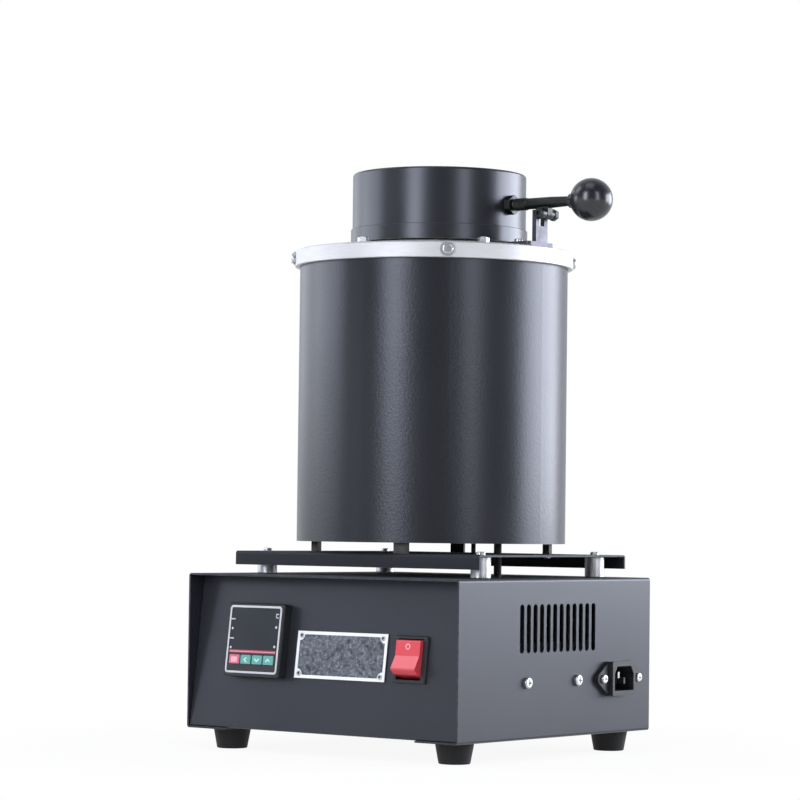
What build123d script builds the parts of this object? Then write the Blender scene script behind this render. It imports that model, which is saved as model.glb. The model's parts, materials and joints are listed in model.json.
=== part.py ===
from build123d import *
import os
from math import atan2, cos, degrees, hypot, radians, sin, tan

# Electric furnace for melting gold: a cabinet with the controls, a platform tray, and on it an
# insulated drum with a crucible, closed by a tipping lid.
# Millimetres. +Z is up and -Y is the front. The origin is the centre of the cabinet's footprint,
# on the surface that the feet stand on.

# ---------------------------------------------------------------- cabinet
cabinet_width = 225.0
cabinet_depth = 212.0
cabinet_height = 102.0
sheet = 1.2  # steel of the cabinet and of the tray
fold_inside = 0.6  # inside radius of a fold
seat_gap = 0.3  # clearance between pieces that are slid together
running_gap = 0.05  # clearance round a pin, a shank or a rivet
panel_tilt = 7.5  # degrees, the control panel leans back
panel_foot_recess = 0.6
rear_recess = 1.0
chassis_fold = 1.08  # outside radius of the chassis's folds
foot_height = 13.5
foot_top_radius = 12.5
foot_bottom_radius = 10.0
foot_side_inset = 19.8
foot_front_inset = 23.0
foot_back_inset = 18.5
foot_recess_radius = 5.0
foot_recess_depth = 5.0
foot_edge = 0.8
flange_margin = 1.5  # from a foot to the inner edge of the flange over it

vent_count = 12
vent_pitch = 7.2
vent_width = 4.6
vent_height = 31.2
vent_z = 70.4  # above the cabinet's bottom

side_screw_spacing = 55.7
side_screw_fore = 73.8  # from the inlet's middle forward to the middle of the two screws
side_screw_z = 36.1  # above the cabinet's bottom

# ---------------------------------------------------------------- controls on the sloping panel
# x is across and v is up the slope, from the panel's foot; w stands out of the panel
controller_x = -56.0
controller_v = 59.2
controller_size = 48.0
controller_body = 44.4
controller_depth = 78.0
bezel_height = 7.5
bezel_wall = 3.0
bezel_face = 2.0
window_half_width = 20.6
window_low = -6.9
window_high = 20.2
window_ledge = 1.2
window_thickness = 1.4
window_play = 0.1
housing_wall = 2.0
housing_corner = 1.5
bezel_corner = 1.6
bezel_edge = 0.8
frame_line_width = 1.3
frame_line_margin = 1.9
frame_line_height = 0.25
frame_line_corner = 2.2
key_width = 8.6
key_height = 6.0
key_spacing = 1.1
key_v = -13.2
key_proud = 0.7
key_travel = 0.6
key_gap = 0.2
key_corner = 0.7
key_edge = 0.35
key_collar = 0.35  # the collar reaches this far past the cap across the panel
key_collar_up = 0.7  # and this far up and down it
key_collar_thickness = 0.95
contact_gap = 0.1  # under a pressed key
contact_size = 4.5
contact_height = 1.2
board_margin = 0.3
board_thickness = 1.6
display_width = 34.0
display_height = 18.0
display_thickness = 1.8
clamp_depth = 10.0
clamp_wall = 2.2
clamp_corner = 2.0
clamp_gap = 0.1

plate_x = 13.1
plate_v = 51.6
plate_width = 74.4
plate_height = 30.3
plate_thickness = 0.8
rivet_inset_x = 3.7
rivet_inset_v = 2.95
rivet_head_radius = 1.7
rivet_head_height = 0.7
rivet_radius = 1.1
rivet_tail = 1.0

switch_x = 69.9
switch_v = 51.5
switch_rim_side = 2.05
switch_rim_end = 1.3
switch_bezel = 2.0
switch_corner = 1.5
switch_edge = 0.7
switch_body_width = 22.4
switch_body_height = 27.4
switch_body_depth = 26.0
switch_wall_side = 1.3
switch_wall_end = 0.7
rocker_end_gap = 1.5
rocker_swing = 12.0  # degrees each way from level
rocker_pivot_depth = 4.0  # below the panel's face
rocker_crest = 11.0  # from the pivot to the crest near either end
rocker_crest_inset = 2.0  # from the rocker's end to its crest
rocker_shoulder = 6.5  # from the pivot to where the end starts to slope
rocker_skirt = 3.0  # below the pivot
rocker_corner = 1.0
rocker_room = 5.0  # under the rocker
blade_width = 0.8
blade_height = 6.3
blade_length = 9.0
blade_spacing_x = 11.0
blade_spacing_v = 14.0
trunnion_radius = 1.5
trunnion_length = 1.2

# ---------------------------------------------------------------- mains inlet on the right wall
inlet_back_inset = 38.6  # from the cabinet's back edge
inlet_z = 36.1  # above the cabinet's bottom
inlet_screw_spacing = 40.0
inlet_ear_radius = 4.0
inlet_ear_margin = 2.0  # from a screw's axis to the middle of its ear
inlet_flange_thickness = 3.0
inlet_frame_side = 2.2
inlet_frame_end = 3.2
inlet_frame_corner = 1.2
inlet_frame_proud = 6.0
inlet_case_wall = 1.2
inlet_socket_width = 22.0
inlet_socket_height = 16.0
inlet_socket_corner = 5.0
inlet_socket_bevel = 3.0  # how far in the corner is cut at the top
inlet_socket_depth = 16.0
inlet_body_depth = 20.0
inlet_tab_length = 8.0
pin_spacing = 7.0
earth_pin_rise = 2.0
pin_width = 2.0
pin_height = 4.0
pin_setback = 4.5

# ---------------------------------------------------------------- inside the cabinet
sink_length = 90.0
sink_height = 50.0
sink_base = 6.0
sink_fin = 2.0
sink_fin_spacing = 8.0
sink_depth = 15.0
relay_length = 58.0
relay_height = 45.0
relay_thickness = 23.0
relay_corner = 2.0
block_margin = 5.0  # from a lead to the edge of the terminal block
block_height = 22.0

# ---------------------------------------------------------------- platform tray
tray_width = 204.0
tray_depth = 163.0
tray_flange = 9.2
tray_rise = 15.0  # tray's top above the cabinet's top
standoff_radius = 6.5
standoff_inset_x = 12.5
standoff_inset_y = 18.0
standoff_edge = 0.5

# ---------------------------------------------------------------- furnace drum
furnace_y = 10.0  # the drum and the tray stand behind the cabinet's centre
leg_height = 7.0  # what shows of a leg below the shell
leg_inset = 10.3  # from the shell to the legs' circle
leg_first_angle = 24.0
leg_thickness = 4.4
leg_width = 9.5
shell_radius = 90.0
shell_wall = 1.0
shell_height = 192.5
base_thickness = 2.0
base_recess = 6.0  # the shell hangs this far below the base
floor_brick = 19.0
muffle_radius = 42.0
muffle_bore = 33.0
coil_room = 0.9  # between the coil and the blanket
collar_radius = 54.5
collar_proud = 4.5
top_brick = 15.0
ring_radius = 93.5
ring_height = 10.6
ring_plate = 1.7
ring_edge = 1.1
ring_lower_edge = 0.4
ring_screw_angle = -47.0
tie_rod_count = 6
tie_rod_inset = 11.4  # from the shell to the tie rods' circle
tie_rod_first_angle = 31.7
tie_rod_tail = 0.6
tie_rod_radius = 2.0
refractory_gap = 0.3  # round what goes through brick or fibre
collar_edge = 1.0
rest_height = 15.0
rest_radius = 24.0
crucible_radius = 25.0
crucible_drop = 12.0  # from the collar's top down to the rim
crucible_wall = 7.0
crucible_floor = 12.0
crucible_bevel = 2.0
crucible_hollow = 3.0  # the bevel at the bottom of the cavity
element_wire_radius = 1.1
element_turns = 12
element_margin = 10.0  # from the coil to either end of the muffle
coil_play = 0.1
tail_gap = 0.2
sleeve_radius = 2.15
sleeve_gap = 0.4  # round a lead, through metal
front_lead_wall = 46.5  # from the cabinet's right wall to the lead that rises there
front_lead_fore = 13.0  # this lead stands in front of the drum's axis
rear_lead_margin = 5.7  # from the blanket's bore
rear_lead_angle = 7.5
thermocouple_lead_margin = 5.3  # from the blanket's bore
thermocouple_lead_angle = -18.5
thermocouple_radius = 1.5
thermocouple_bend = 7.0
thermocouple_rise = 55.0  # above the drum's floor brick

# ---------------------------------------------------------------- lid, lever and hinge
lid_offset = 4.0  # the lid's axis stands nearer to the hinge than the drum's
lid_radius = 58.3
lid_wall = 1.5
lid_gap = 0.3  # over the collar when shut
lid_height = 47.2
lid_band_wall = 1.0
lid_band_edge = 0.3
lid_band_height = 9.9
lid_lip_width = 7.0
lid_lip = 1.0
rod_height = 24.2  # the rod's axis above the lid's lower edge
rod_radius = 3.7
rod_tip_radius = 3.1
rod_inner_reach = 12.0  # inside the lid's wall
taper_margin = 7.0  # from the strap to where the rod starts to taper
ball_overhang = 34.7  # from the ring's edge to the ball's centre
ball_radius = 14.0
ball_neck_radius = 4.8
ball_neck = 2.0
ball_socket = 4.0  # from the rod's end to the ball's centre
nut_flats = 11.5
nut_thickness = 4.4
pivot_drop = 7.5  # pivot below the rod's axis
strap_inset = 4.5  # from the ring's edge to the strap's outer face
strap_thickness = 3.2
strap_width = 12.7
knuckle_radius = 3.2
knuckle_web = 5.1  # height of the metal between a knuckle and the strap
lug_thickness = 5.0
lug_gap = 0.3  # on each side of the lug
lug_radius = 3.4
bolt_radius = 2.0
strap_under_rod = 1.2
bracket_screw_shift = 2.0  # the screws stand off the foot's middle, away from the strap
bracket_foot_corner = 2.5
bracket_foot_length = 19.0
bracket_foot_width = 28.0
bracket_screw_spacing = 20.0
lid_edge = 1.6
rod_play = 0.15  # round the rod, in the lid and in the ball
nut_pocket = 5.0  # room round the inner nut
inner_nut_gap = 0.45  # the lid's curved wall leaves this at the nut's middle

# ---------------------------------------------------------------- fasteners
foot_screw_radius = 2.0
side_screw_radius = 2.0
inlet_screw_radius = 1.6
standoff_screw_radius = 1.6
leg_screw_radius = 1.25
ring_screw_radius = 2.0
ring_screw_length = 9.0
bracket_screw_radius = 1.5
bracket_screw_length = 10.0
inlet_screw_length = 10.0
hole_gap = 0.1  # round a screw
screw_head = 1.85  # a head's radius, in shank radii
screw_rise = 1.3  # a head's height, in shank radii
head_rounding = 0.45  # of a head's height
screw_cross = 0.45  # a cross slot's width, in shank radii
cross_length = 1.1  # a cross slot's length, in head radii
slot_share = 0.5  # how deep a slot or a socket is cut into a head
screw_socket = 0.8  # a hexagon socket's radius, in shank radii
nut_across = 3.5  # a nut's flats, in shank radii
nut_rise = 1.6  # a nut's height, in shank radii
nut_corner = 0.56  # radius that rounds a nut's corners, in flats
washer_rise = 0.8  # a washer's height under a head or a nut
screw_tail = 1.4  # what shows of a shank past its nut
ring_washer_radius = 4.7
tie_rod_washer_radius = 4.4

# ---------------------------------------------------------------- derived places
bend = sheet + fold_inside
cabinet_bottom = foot_height
cabinet_top = cabinet_bottom + cabinet_height
half_width = cabinet_width / 2
half_depth = cabinet_depth / 2
inlet_y = half_depth - inlet_back_inset
side_screw_y = inlet_y - side_screw_fore
flange_width = foot_side_inset + foot_top_radius + flange_margin
chassis_bottom = cabinet_bottom + sheet
chassis_floor = chassis_bottom + sheet
chassis_top = cabinet_top - sheet - seat_gap
wall_inside = half_width - sheet
tray_top = cabinet_top + tray_rise
tray_bottom = tray_top - sheet
drum_bottom = tray_top + leg_height
base_bottom = drum_bottom + base_recess
base_top = base_bottom + base_thickness
brick_top = base_top + floor_brick
shell_top = drum_bottom + shell_height
ring_bottom = shell_top + ring_plate + seat_gap - ring_height
ring_top = ring_bottom + ring_height
ring_screw_z = ring_bottom + ring_height / 2
plate_underside = ring_top - ring_plate
muffle_top = plate_underside - seat_gap - top_brick
collar_top = ring_top + collar_proud
lid_bottom = collar_top + lid_gap
lid_band_radius = lid_radius + lid_band_wall
rod_z = lid_bottom + rod_height
strap_face_x = ring_radius - strap_inset
taper_start = strap_face_x + taper_margin
ball_x = ring_radius + ball_overhang
pivot_x = strap_face_x + knuckle_radius
pivot_z = rod_z - pivot_drop
screw_x = strap_face_x - bracket_foot_length / 2 - bracket_screw_shift
inner_radius = shell_radius - shell_wall - seat_gap
leg_circle_radius = shell_radius - leg_inset
tie_rod_circle_radius = shell_radius - tie_rod_inset
coil_radius = muffle_radius + element_wire_radius + coil_play
blanket_bore = coil_radius + element_wire_radius + coil_room
thermocouple_circle = (crucible_radius + muffle_bore) / 2
standoff_spacing_x = tray_width - 2 * standoff_inset_x
standoff_spacing_y = tray_depth - 2 * standoff_inset_y
key_pitch = key_width + key_spacing
rivet_spacing_x = plate_width - 2 * rivet_inset_x
rivet_spacing_v = plate_height - 2 * rivet_inset_v
switch_width = switch_body_width + 2 * switch_rim_side
switch_height = switch_body_height + 2 * switch_rim_end
rocker_window_width = switch_body_width - 2 * switch_wall_side
rocker_window_height = switch_body_height - 2 * switch_wall_end
rocker_width = rocker_window_width - 2 * seat_gap
rocker_half_length = rocker_window_height / 2 - rocker_end_gap
inlet_frame_width = inlet_socket_width + 2 * inlet_frame_side
inlet_flange_height = inlet_socket_height + 2 * inlet_frame_end
inlet_case_width = inlet_socket_width + 2 * inlet_case_wall
inlet_case_height = inlet_socket_height + 2 * inlet_case_wall

panel = Plane(
    origin=(0, -half_depth + panel_foot_recess, cabinet_bottom),
    x_dir=(1, 0, 0),
    z_dir=(0, -cos(radians(panel_tilt)), sin(radians(panel_tilt))),
)
right_wall = Plane.YZ.offset(half_width)
lever_plane = Plane.XZ.offset(-furnace_y)  # upright, through the rod and the lid's centre

foot_places = [
    (side * (half_width - foot_side_inset), y)
    for side in (-1, 1)
    for y in (-half_depth + foot_front_inset, half_depth - foot_back_inset)
]

# The front lead rises in sight beside the tray, the rear one close behind it.
front_lead_x = half_width - front_lead_wall
lead_angles = (degrees(atan2(-front_lead_fore, front_lead_x)), rear_lead_angle)
lead_radii = (hypot(front_lead_x, front_lead_fore), blanket_bore + rear_lead_margin)
thermocouple_lead_radius = blanket_bore + thermocouple_lead_margin

os.makedirs("parts", exist_ok=True)


def beside_drum(angle, radius):
    """The x and y of a place at an angle from +X round the drum's axis."""
    return (radius * cos(radians(angle)), furnace_y + radius * sin(radians(angle)))


lead_places = [beside_drum(angle, radius) for angle, radius in zip(lead_angles, lead_radii)]
thermocouple_lead_place = beside_drum(thermocouple_lead_angle, thermocouple_lead_radius)


def save(builder, node):
    """Label a finished sub-part and write it."""
    builder.part.label = node
    export_step(builder.part, f"parts/{node}.step")


def on_panel(x, v, w=0.0):
    """The panel's plane, moved to a place on it and raised by w."""
    return Plane(origin=panel.from_local_coords((x, v, w)), x_dir=panel.x_dir, z_dir=panel.z_dir)


def on_drum(angle, radius, z):
    """A plane on the drum, facing outward at an angle from +X."""
    out = (cos(radians(angle)), sin(radians(angle)), 0)
    place = (out[0] * radius, furnace_y + out[1] * radius, z)
    return Plane(origin=place, x_dir=(-out[1], out[0], 0), z_dir=out)


def around_drum(first_angle, radius, z, count=4):
    """Upward planes at equal turns round the drum's axis."""
    planes = []
    for turn in range(count):
        angle = radians(first_angle + 360 / count * turn)
        place = (radius * cos(angle), furnace_y + radius * sin(angle), z)
        planes.append(Plane(origin=place, x_dir=(cos(angle), sin(angle), 0), z_dir=(0, 0, 1)))
    return planes


def tie_rod_planes(z):
    """Upward planes on the tie rods' axes."""
    return around_drum(tie_rod_first_angle, tie_rod_circle_radius, z, tie_rod_count)


def screw(shank_radius, length, socket=False, washer=0.0):
    """A domed screw with a cross slot or a hexagon socket. Its head sits on the plane, its shank
    runs down from it, and a washer of the given radius goes round the head's foot."""
    head_radius = screw_head * shank_radius
    head_height = screw_rise * shank_radius
    with BuildPart() as piece:
        with BuildSketch():
            Circle(shank_radius)
        extrude(amount=-length)
        if washer:
            with BuildSketch():
                Circle(washer)
            extrude(amount=washer_rise)
        with BuildSketch():
            Circle(head_radius)
        extrude(amount=head_height)
        fillet(piece.edges().filter_by(GeomType.CIRCLE).group_by(Axis.Z)[-1], head_height * head_rounding)
        with BuildSketch(Plane.XY.offset(head_height)):
            if socket:
                RegularPolygon(screw_socket * shank_radius, 6)
            else:
                Rectangle(head_radius * cross_length, screw_cross * shank_radius)
                Rectangle(screw_cross * shank_radius, head_radius * cross_length)
        extrude(amount=-head_height * slot_share, mode=Mode.SUBTRACT)
    return piece.part


def hex_nut(shank_radius, flats, thickness, washer=0.0):
    """A hexagon nut with rounded corners that stands on the plane, or on its washer there."""
    rise = washer_rise if washer else 0.0
    with BuildPart() as piece:
        with BuildSketch(Plane.XY.offset(rise)):
            RegularPolygon(flats / 2, 6, major_radius=False)
            Circle(flats * nut_corner, mode=Mode.INTERSECT)
        extrude(amount=thickness)
        if washer:
            with BuildSketch():
                Circle(washer)
            extrude(amount=rise)
        with BuildSketch():
            Circle(shank_radius + running_gap)
        extrude(amount=rise + thickness, mode=Mode.SUBTRACT)
    return piece.part


def plain_nut(shank_radius, washer=0.0):
    """A nut of the usual proportions for its screw."""
    return hex_nut(shank_radius, nut_across * shank_radius, nut_rise * shank_radius, washer)


# ================================================================ cabinet
# Folded cover: top, two side walls and the inward flanges under them that the chassis stands on.
with BuildPart() as cabinet_cover:
    with BuildSketch(Plane.XZ.offset(-half_depth)):
        with Locations((0, cabinet_bottom + cabinet_height / 2)):
            RectangleRounded(cabinet_width, cabinet_height, bend)
            RectangleRounded(
                cabinet_width - 2 * sheet, cabinet_height - 2 * sheet, bend - sheet, mode=Mode.SUBTRACT
            )
        with Locations((0, cabinet_bottom)):
            Rectangle(cabinet_width - 2 * flange_width, 3 * sheet, mode=Mode.SUBTRACT)
    extrude(amount=cabinet_depth)
    for wall in (right_wall, Plane.YZ.offset(-half_width)):
        with BuildSketch(wall):
            with Locations((0, cabinet_bottom + vent_z)):
                with GridLocations(vent_pitch, 1, vent_count, 1):
                    SlotOverall(vent_height, vent_width, rotation=90)
        extrude(amount=2 * sheet, both=True, mode=Mode.SUBTRACT)
    with BuildSketch(right_wall):
        with Locations((side_screw_y, cabinet_bottom + side_screw_z)):
            with GridLocations(side_screw_spacing, 1, 2, 1):
                Circle(side_screw_radius + hole_gap)
        with Locations((inlet_y, cabinet_bottom + inlet_z)):
            Rectangle(inlet_case_width + 2 * seat_gap, inlet_case_height + 2 * seat_gap)
            with GridLocations(inlet_screw_spacing, 1, 2, 1):
                Circle(inlet_screw_radius + hole_gap)
    extrude(amount=2 * sheet, both=True, mode=Mode.SUBTRACT)
    with BuildSketch(Plane.XY.offset(cabinet_top)):
        with Locations((0, furnace_y)):
            with GridLocations(standoff_spacing_x, standoff_spacing_y, 2, 2):
                Circle(standoff_screw_radius + hole_gap)
        with Locations(*lead_places):
            Circle(sleeve_radius + sleeve_gap)
        with Locations(thermocouple_lead_place):
            Circle(sleeve_radius)
    extrude(amount=2 * sheet, both=True, mode=Mode.SUBTRACT)
    with BuildSketch(Plane.XY.offset(cabinet_bottom)):
        with Locations(*foot_places):
            Circle(foot_screw_radius + hole_gap)
    extrude(amount=2 * sheet, both=True, mode=Mode.SUBTRACT)
save(cabinet_cover, "cabinet_cover")

# Folded chassis: sloping control panel, floor and rear wall in one sheet.
chassis_width = cabinet_width - 2 * bend
panel_slope = tan(radians(panel_tilt))
panel_run = sheet / cos(radians(panel_tilt))
panel_low_y = -half_depth + panel_foot_recess + panel_slope * (chassis_bottom - cabinet_bottom)
panel_high_y = -half_depth + panel_foot_recess + panel_slope * (chassis_top - cabinet_bottom)
panel_floor_y = -half_depth + panel_foot_recess + panel_slope * (chassis_floor - cabinet_bottom)
rear_y = half_depth - rear_recess
with BuildPart() as base_chassis:
    with BuildSketch(Plane.YZ.offset(-chassis_width / 2)):
        with BuildLine():
            Polyline(
                (panel_low_y, chassis_bottom),
                (panel_high_y, chassis_top),
                (panel_high_y + panel_run, chassis_top),
                (panel_floor_y + panel_run, chassis_floor),
                (rear_y - sheet, chassis_floor),
                (rear_y - sheet, chassis_top),
                (rear_y, chassis_top),
                (rear_y, chassis_bottom),
                close=True,
            )
        make_face()
    extrude(amount=chassis_width)
    low_folds = base_chassis.edges().filter_by(Axis.X).group_by(Axis.Z)[0]
    fillet(low_folds, chassis_fold)
    with BuildSketch(on_panel(0, 0)):
        with Locations((controller_x, controller_v)):
            Rectangle(controller_body + 2 * seat_gap, controller_body + 2 * seat_gap)
        with Locations((switch_x, switch_v)):
            Rectangle(switch_body_width + 2 * seat_gap, switch_body_height + 2 * seat_gap)
        with Locations((plate_x, plate_v)):
            with GridLocations(rivet_spacing_x, rivet_spacing_v, 2, 2):
                Circle(rivet_radius + running_gap)
    extrude(amount=2 * sheet, both=True, mode=Mode.SUBTRACT)
    with BuildSketch(Plane.XY.offset(chassis_bottom)):
        with Locations(*foot_places):
            Circle(foot_screw_radius + hole_gap)
    extrude(amount=2 * sheet, both=True, mode=Mode.SUBTRACT)
save(base_chassis, "base_chassis")

# Rubber feet, each with a deep recess for its screw's head.
with BuildPart() as foot:
    Cone(foot_bottom_radius, foot_top_radius, foot_height, align=(Align.CENTER, Align.CENTER, Align.MIN))
    fillet(foot.edges().group_by(Axis.Z)[0], foot_edge)
    with BuildSketch():
        Circle(foot_recess_radius)
    extrude(amount=foot_recess_depth, mode=Mode.SUBTRACT)
    with BuildSketch():
        Circle(foot_screw_radius + hole_gap)
    extrude(amount=foot_height, mode=Mode.SUBTRACT)
with BuildPart() as rubber_feet:
    for place in foot_places:
        with Locations(place):
            add(foot.part)
save(rubber_feet, "rubber_feet")

foot_stack = foot_height - foot_recess_depth + 2 * sheet
foot_screw = screw(foot_screw_radius, foot_stack + nut_rise * foot_screw_radius + screw_tail)
with BuildPart() as foot_screws:
    for x, y in foot_places:
        with Locations(Plane(origin=(x, y, foot_recess_depth), z_dir=(0, 0, -1))):
            add(foot_screw)
save(foot_screws, "foot_screws")

with BuildPart() as foot_nuts:
    for x, y in foot_places:
        with Locations((x, y, chassis_floor)):
            add(plain_nut(foot_screw_radius))
save(foot_nuts, "foot_nuts")

# ================================================================ temperature controller
# Housing: a square plastic case through the panel, open at its front behind the bezel.
with BuildPart() as controller_housing:
    with BuildSketch(on_panel(controller_x, controller_v)):
        Rectangle(controller_body, controller_body)
    extrude(amount=-controller_depth)
    fillet(controller_housing.edges().sort_by_distance(panel.from_local_coords(
        (controller_x, controller_v, -controller_depth)))[:4], housing_corner)
    with BuildSketch(on_panel(controller_x, controller_v)):
        Rectangle(controller_body - 2 * housing_wall, controller_body - 2 * housing_wall)
    extrude(amount=-(controller_depth - housing_wall), mode=Mode.SUBTRACT)
save(controller_housing, "controller_housing")

key_names = ("key_set", "key_shift", "key_down", "key_up")
key_x = [(index - (len(key_names) - 1) / 2) * key_pitch for index in range(len(key_names))]

# Bezel: a square cap with a window opening over four key openings.
with BuildPart() as controller_bezel:
    with BuildSketch(on_panel(controller_x, controller_v)):
        RectangleRounded(controller_size, controller_size, bezel_corner)
    extrude(amount=bezel_height)
    face_rim = controller_bezel.faces().sort_by_distance(
        panel.from_local_coords((controller_x, controller_v, bezel_height)))[0]
    chamfer(face_rim.edges(), bezel_edge)
    with BuildSketch(on_panel(controller_x, controller_v)):
        Rectangle(controller_size - 2 * bezel_wall, controller_size - 2 * bezel_wall)
    extrude(amount=bezel_height - bezel_face, mode=Mode.SUBTRACT)
    window_width = 2 * window_half_width
    window_rows = window_high - window_low
    window_v = controller_v + (window_high + window_low) / 2
    with BuildSketch(on_panel(controller_x, window_v, bezel_height - bezel_face)):
        Rectangle(window_width - 2 * window_ledge, window_rows - 2 * window_ledge)
    extrude(amount=bezel_face, mode=Mode.SUBTRACT)
    with BuildSketch(on_panel(controller_x, window_v, bezel_height - window_thickness - window_play)):
        Rectangle(window_width, window_rows)
    extrude(amount=bezel_face, mode=Mode.SUBTRACT)
    with BuildSketch(on_panel(controller_x, controller_v + key_v, bezel_height)):
        with Locations(*[(x, 0) for x in key_x]):
            RectangleRounded(key_width + 2 * key_gap, key_height + 2 * key_gap, key_corner + key_gap)
    extrude(amount=-2 * bezel_face, mode=Mode.SUBTRACT)
save(controller_bezel, "controller_bezel")

with BuildPart() as controller_window:
    with BuildSketch(on_panel(controller_x, window_v, bezel_height - window_thickness - window_play)):
        Rectangle(window_width - 2 * window_play, window_rows - 2 * window_play)
    extrude(amount=window_thickness)
save(controller_window, "controller_window")

# Silver line that frames the controller's face.
with BuildPart() as controller_frame_line:
    line_size = controller_size - 2 * frame_line_margin
    line_inside = line_size - 2 * frame_line_width
    with BuildSketch(on_panel(controller_x, controller_v, bezel_height)):
        RectangleRounded(line_size, line_size, frame_line_corner)
        RectangleRounded(line_inside, line_inside, frame_line_corner / 2, mode=Mode.SUBTRACT)
    extrude(amount=frame_line_height)
save(controller_frame_line, "controller_frame_line")

# Keys: a cap through the bezel's face and a collar behind it.
collar_foot = bezel_height - bezel_face - key_collar_thickness - running_gap
for key_name, x in zip(key_names, key_x):
    with BuildPart() as key:
        with BuildSketch(on_panel(controller_x + x, controller_v + key_v, collar_foot)):
            Rectangle(key_width + 2 * key_collar, key_height + 2 * key_collar_up)
        extrude(amount=key_collar_thickness)
        with BuildSketch(on_panel(controller_x + x, controller_v + key_v, collar_foot)):
            RectangleRounded(key_width, key_height, key_corner)
        extrude(amount=bezel_height + key_proud - collar_foot)
        key_cap = key.faces().sort_by_distance(panel.from_local_coords(
            (controller_x + x, controller_v + key_v, bezel_height + key_proud)))[0]
        fillet(key_cap.edges(), key_edge)
    save(key, key_name)

# Circuit board behind the keys, with a push contact under each.
board_w = collar_foot - key_travel - contact_gap - contact_height
board_size = controller_body - 2 * housing_wall - 2 * board_margin
with BuildPart() as controller_board:
    with BuildSketch(on_panel(controller_x, controller_v, board_w)):
        Rectangle(board_size, board_size)
    extrude(amount=-board_thickness)
    with BuildSketch(on_panel(controller_x, controller_v + key_v, board_w)):
        with Locations(*[(x, 0) for x in key_x]):
            Rectangle(contact_size, contact_size)
    extrude(amount=contact_height)
    with BuildSketch(on_panel(controller_x, window_v, board_w)):
        Rectangle(display_width, display_height)
    extrude(amount=display_thickness)
save(controller_board, "controller_board")

# Clamp: a square collar that grips the case behind the panel.
with BuildPart() as controller_clamp:
    clamp_outer = controller_body + 2 * seat_gap + 2 * clamp_wall
    clamp_inner = controller_body + 2 * clamp_gap
    with BuildSketch(on_panel(controller_x, controller_v, -sheet - clamp_gap)):
        RectangleRounded(clamp_outer, clamp_outer, clamp_corner)
        Rectangle(clamp_inner, clamp_inner, mode=Mode.SUBTRACT)
    extrude(amount=-clamp_depth)
save(controller_clamp, "controller_clamp")

# ================================================================ nameplate
with BuildPart() as nameplate:
    with BuildSketch(on_panel(plate_x, plate_v)):
        Rectangle(plate_width, plate_height)
        with GridLocations(rivet_spacing_x, rivet_spacing_v, 2, 2):
            Circle(rivet_radius + running_gap, mode=Mode.SUBTRACT)
    extrude(amount=plate_thickness)
save(nameplate, "nameplate")

with BuildPart() as rivet:
    with BuildSketch():
        Circle(rivet_radius)
    extrude(amount=-(plate_thickness + sheet + rivet_tail))
    with BuildSketch():
        Circle(rivet_head_radius)
    extrude(amount=rivet_head_height)
    fillet(rivet.edges().filter_by(GeomType.CIRCLE).group_by(Axis.Z)[-1], rivet_head_height * head_rounding)
with BuildPart() as nameplate_rivets:
    for dx in (-rivet_spacing_x / 2, rivet_spacing_x / 2):
        for dv in (-rivet_spacing_v / 2, rivet_spacing_v / 2):
            with Locations(on_panel(plate_x + dx, plate_v + dv, plate_thickness)):
                add(rivet.part)
save(nameplate_rivets, "nameplate_rivets")

# ================================================================ rocker switch
pivot_w = -rocker_pivot_depth
with BuildPart() as switch_housing:
    with BuildSketch(on_panel(switch_x, switch_v)):
        Rectangle(switch_body_width, switch_body_height)
    extrude(amount=-switch_body_depth)
    with BuildSketch(on_panel(switch_x, switch_v)):
        RectangleRounded(switch_width, switch_height, switch_corner)
    extrude(amount=switch_bezel)
    bezel_rim = switch_housing.faces().sort_by_distance(
        panel.from_local_coords((switch_x, switch_v, switch_bezel)))[0]
    chamfer(bezel_rim.edges(), switch_edge)
    with BuildSketch(on_panel(switch_x, switch_v, switch_bezel)):
        Rectangle(rocker_window_width, rocker_window_height)
    extrude(amount=-(switch_bezel + rocker_pivot_depth + rocker_skirt + rocker_room), mode=Mode.SUBTRACT)
    hinge_line = Plane(
        origin=panel.from_local_coords((switch_x, switch_v, pivot_w)), x_dir=panel.z_dir, z_dir=(1, 0, 0)
    )
    with BuildSketch(hinge_line):
        Circle(trunnion_radius + running_gap)
    extrude(amount=switch_body_width, both=True, mode=Mode.SUBTRACT)
save(switch_housing, "switch_housing")

# Rocker: a cap with a shallow valley, on two trunnions, lying with its lower half proud (off). The
# pressed half lies level with the panel.
crest_place = rocker_half_length - rocker_crest_inset
valley = rocker_crest - crest_place * tan(radians(rocker_swing))
rest_tilt = radians(-rocker_swing)
with BuildPart() as switch_rocker:
    up_slope = panel.y_dir * cos(rest_tilt) + panel.z_dir * sin(rest_tilt)
    rocker_plane = Plane(
        origin=panel.from_local_coords((switch_x - rocker_width / 2, switch_v, pivot_w)),
        x_dir=up_slope,
        z_dir=(1, 0, 0),
    )
    with BuildSketch(rocker_plane):
        with BuildLine():
            Polyline(
                (-rocker_half_length, -rocker_skirt),
                (rocker_half_length, -rocker_skirt),
                (rocker_half_length, rocker_shoulder),
                (crest_place, rocker_crest),
                (0, valley),
                (-crest_place, rocker_crest),
                (-rocker_half_length, rocker_shoulder),
                close=True,
            )
        make_face()
        rows = vertices().group_by(Axis.Y)
        fillet(rows[-1] + rows[-3], rocker_corner)
    extrude(amount=rocker_width)
    with BuildSketch(hinge_line):
        Circle(trunnion_radius)
    extrude(amount=rocker_width / 2 + trunnion_length, both=True)
save(switch_rocker, "switch_rocker")

with BuildPart() as switch_terminals:
    with BuildSketch(on_panel(switch_x, switch_v, -switch_body_depth)):
        with GridLocations(blade_spacing_x, blade_spacing_v, 2, 2):
            Rectangle(blade_width, blade_height)
    extrude(amount=-blade_length)
save(switch_terminals, "switch_terminals")

# ================================================================ mains inlet
inlet_centre = (inlet_y, cabinet_bottom + inlet_z)


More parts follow.
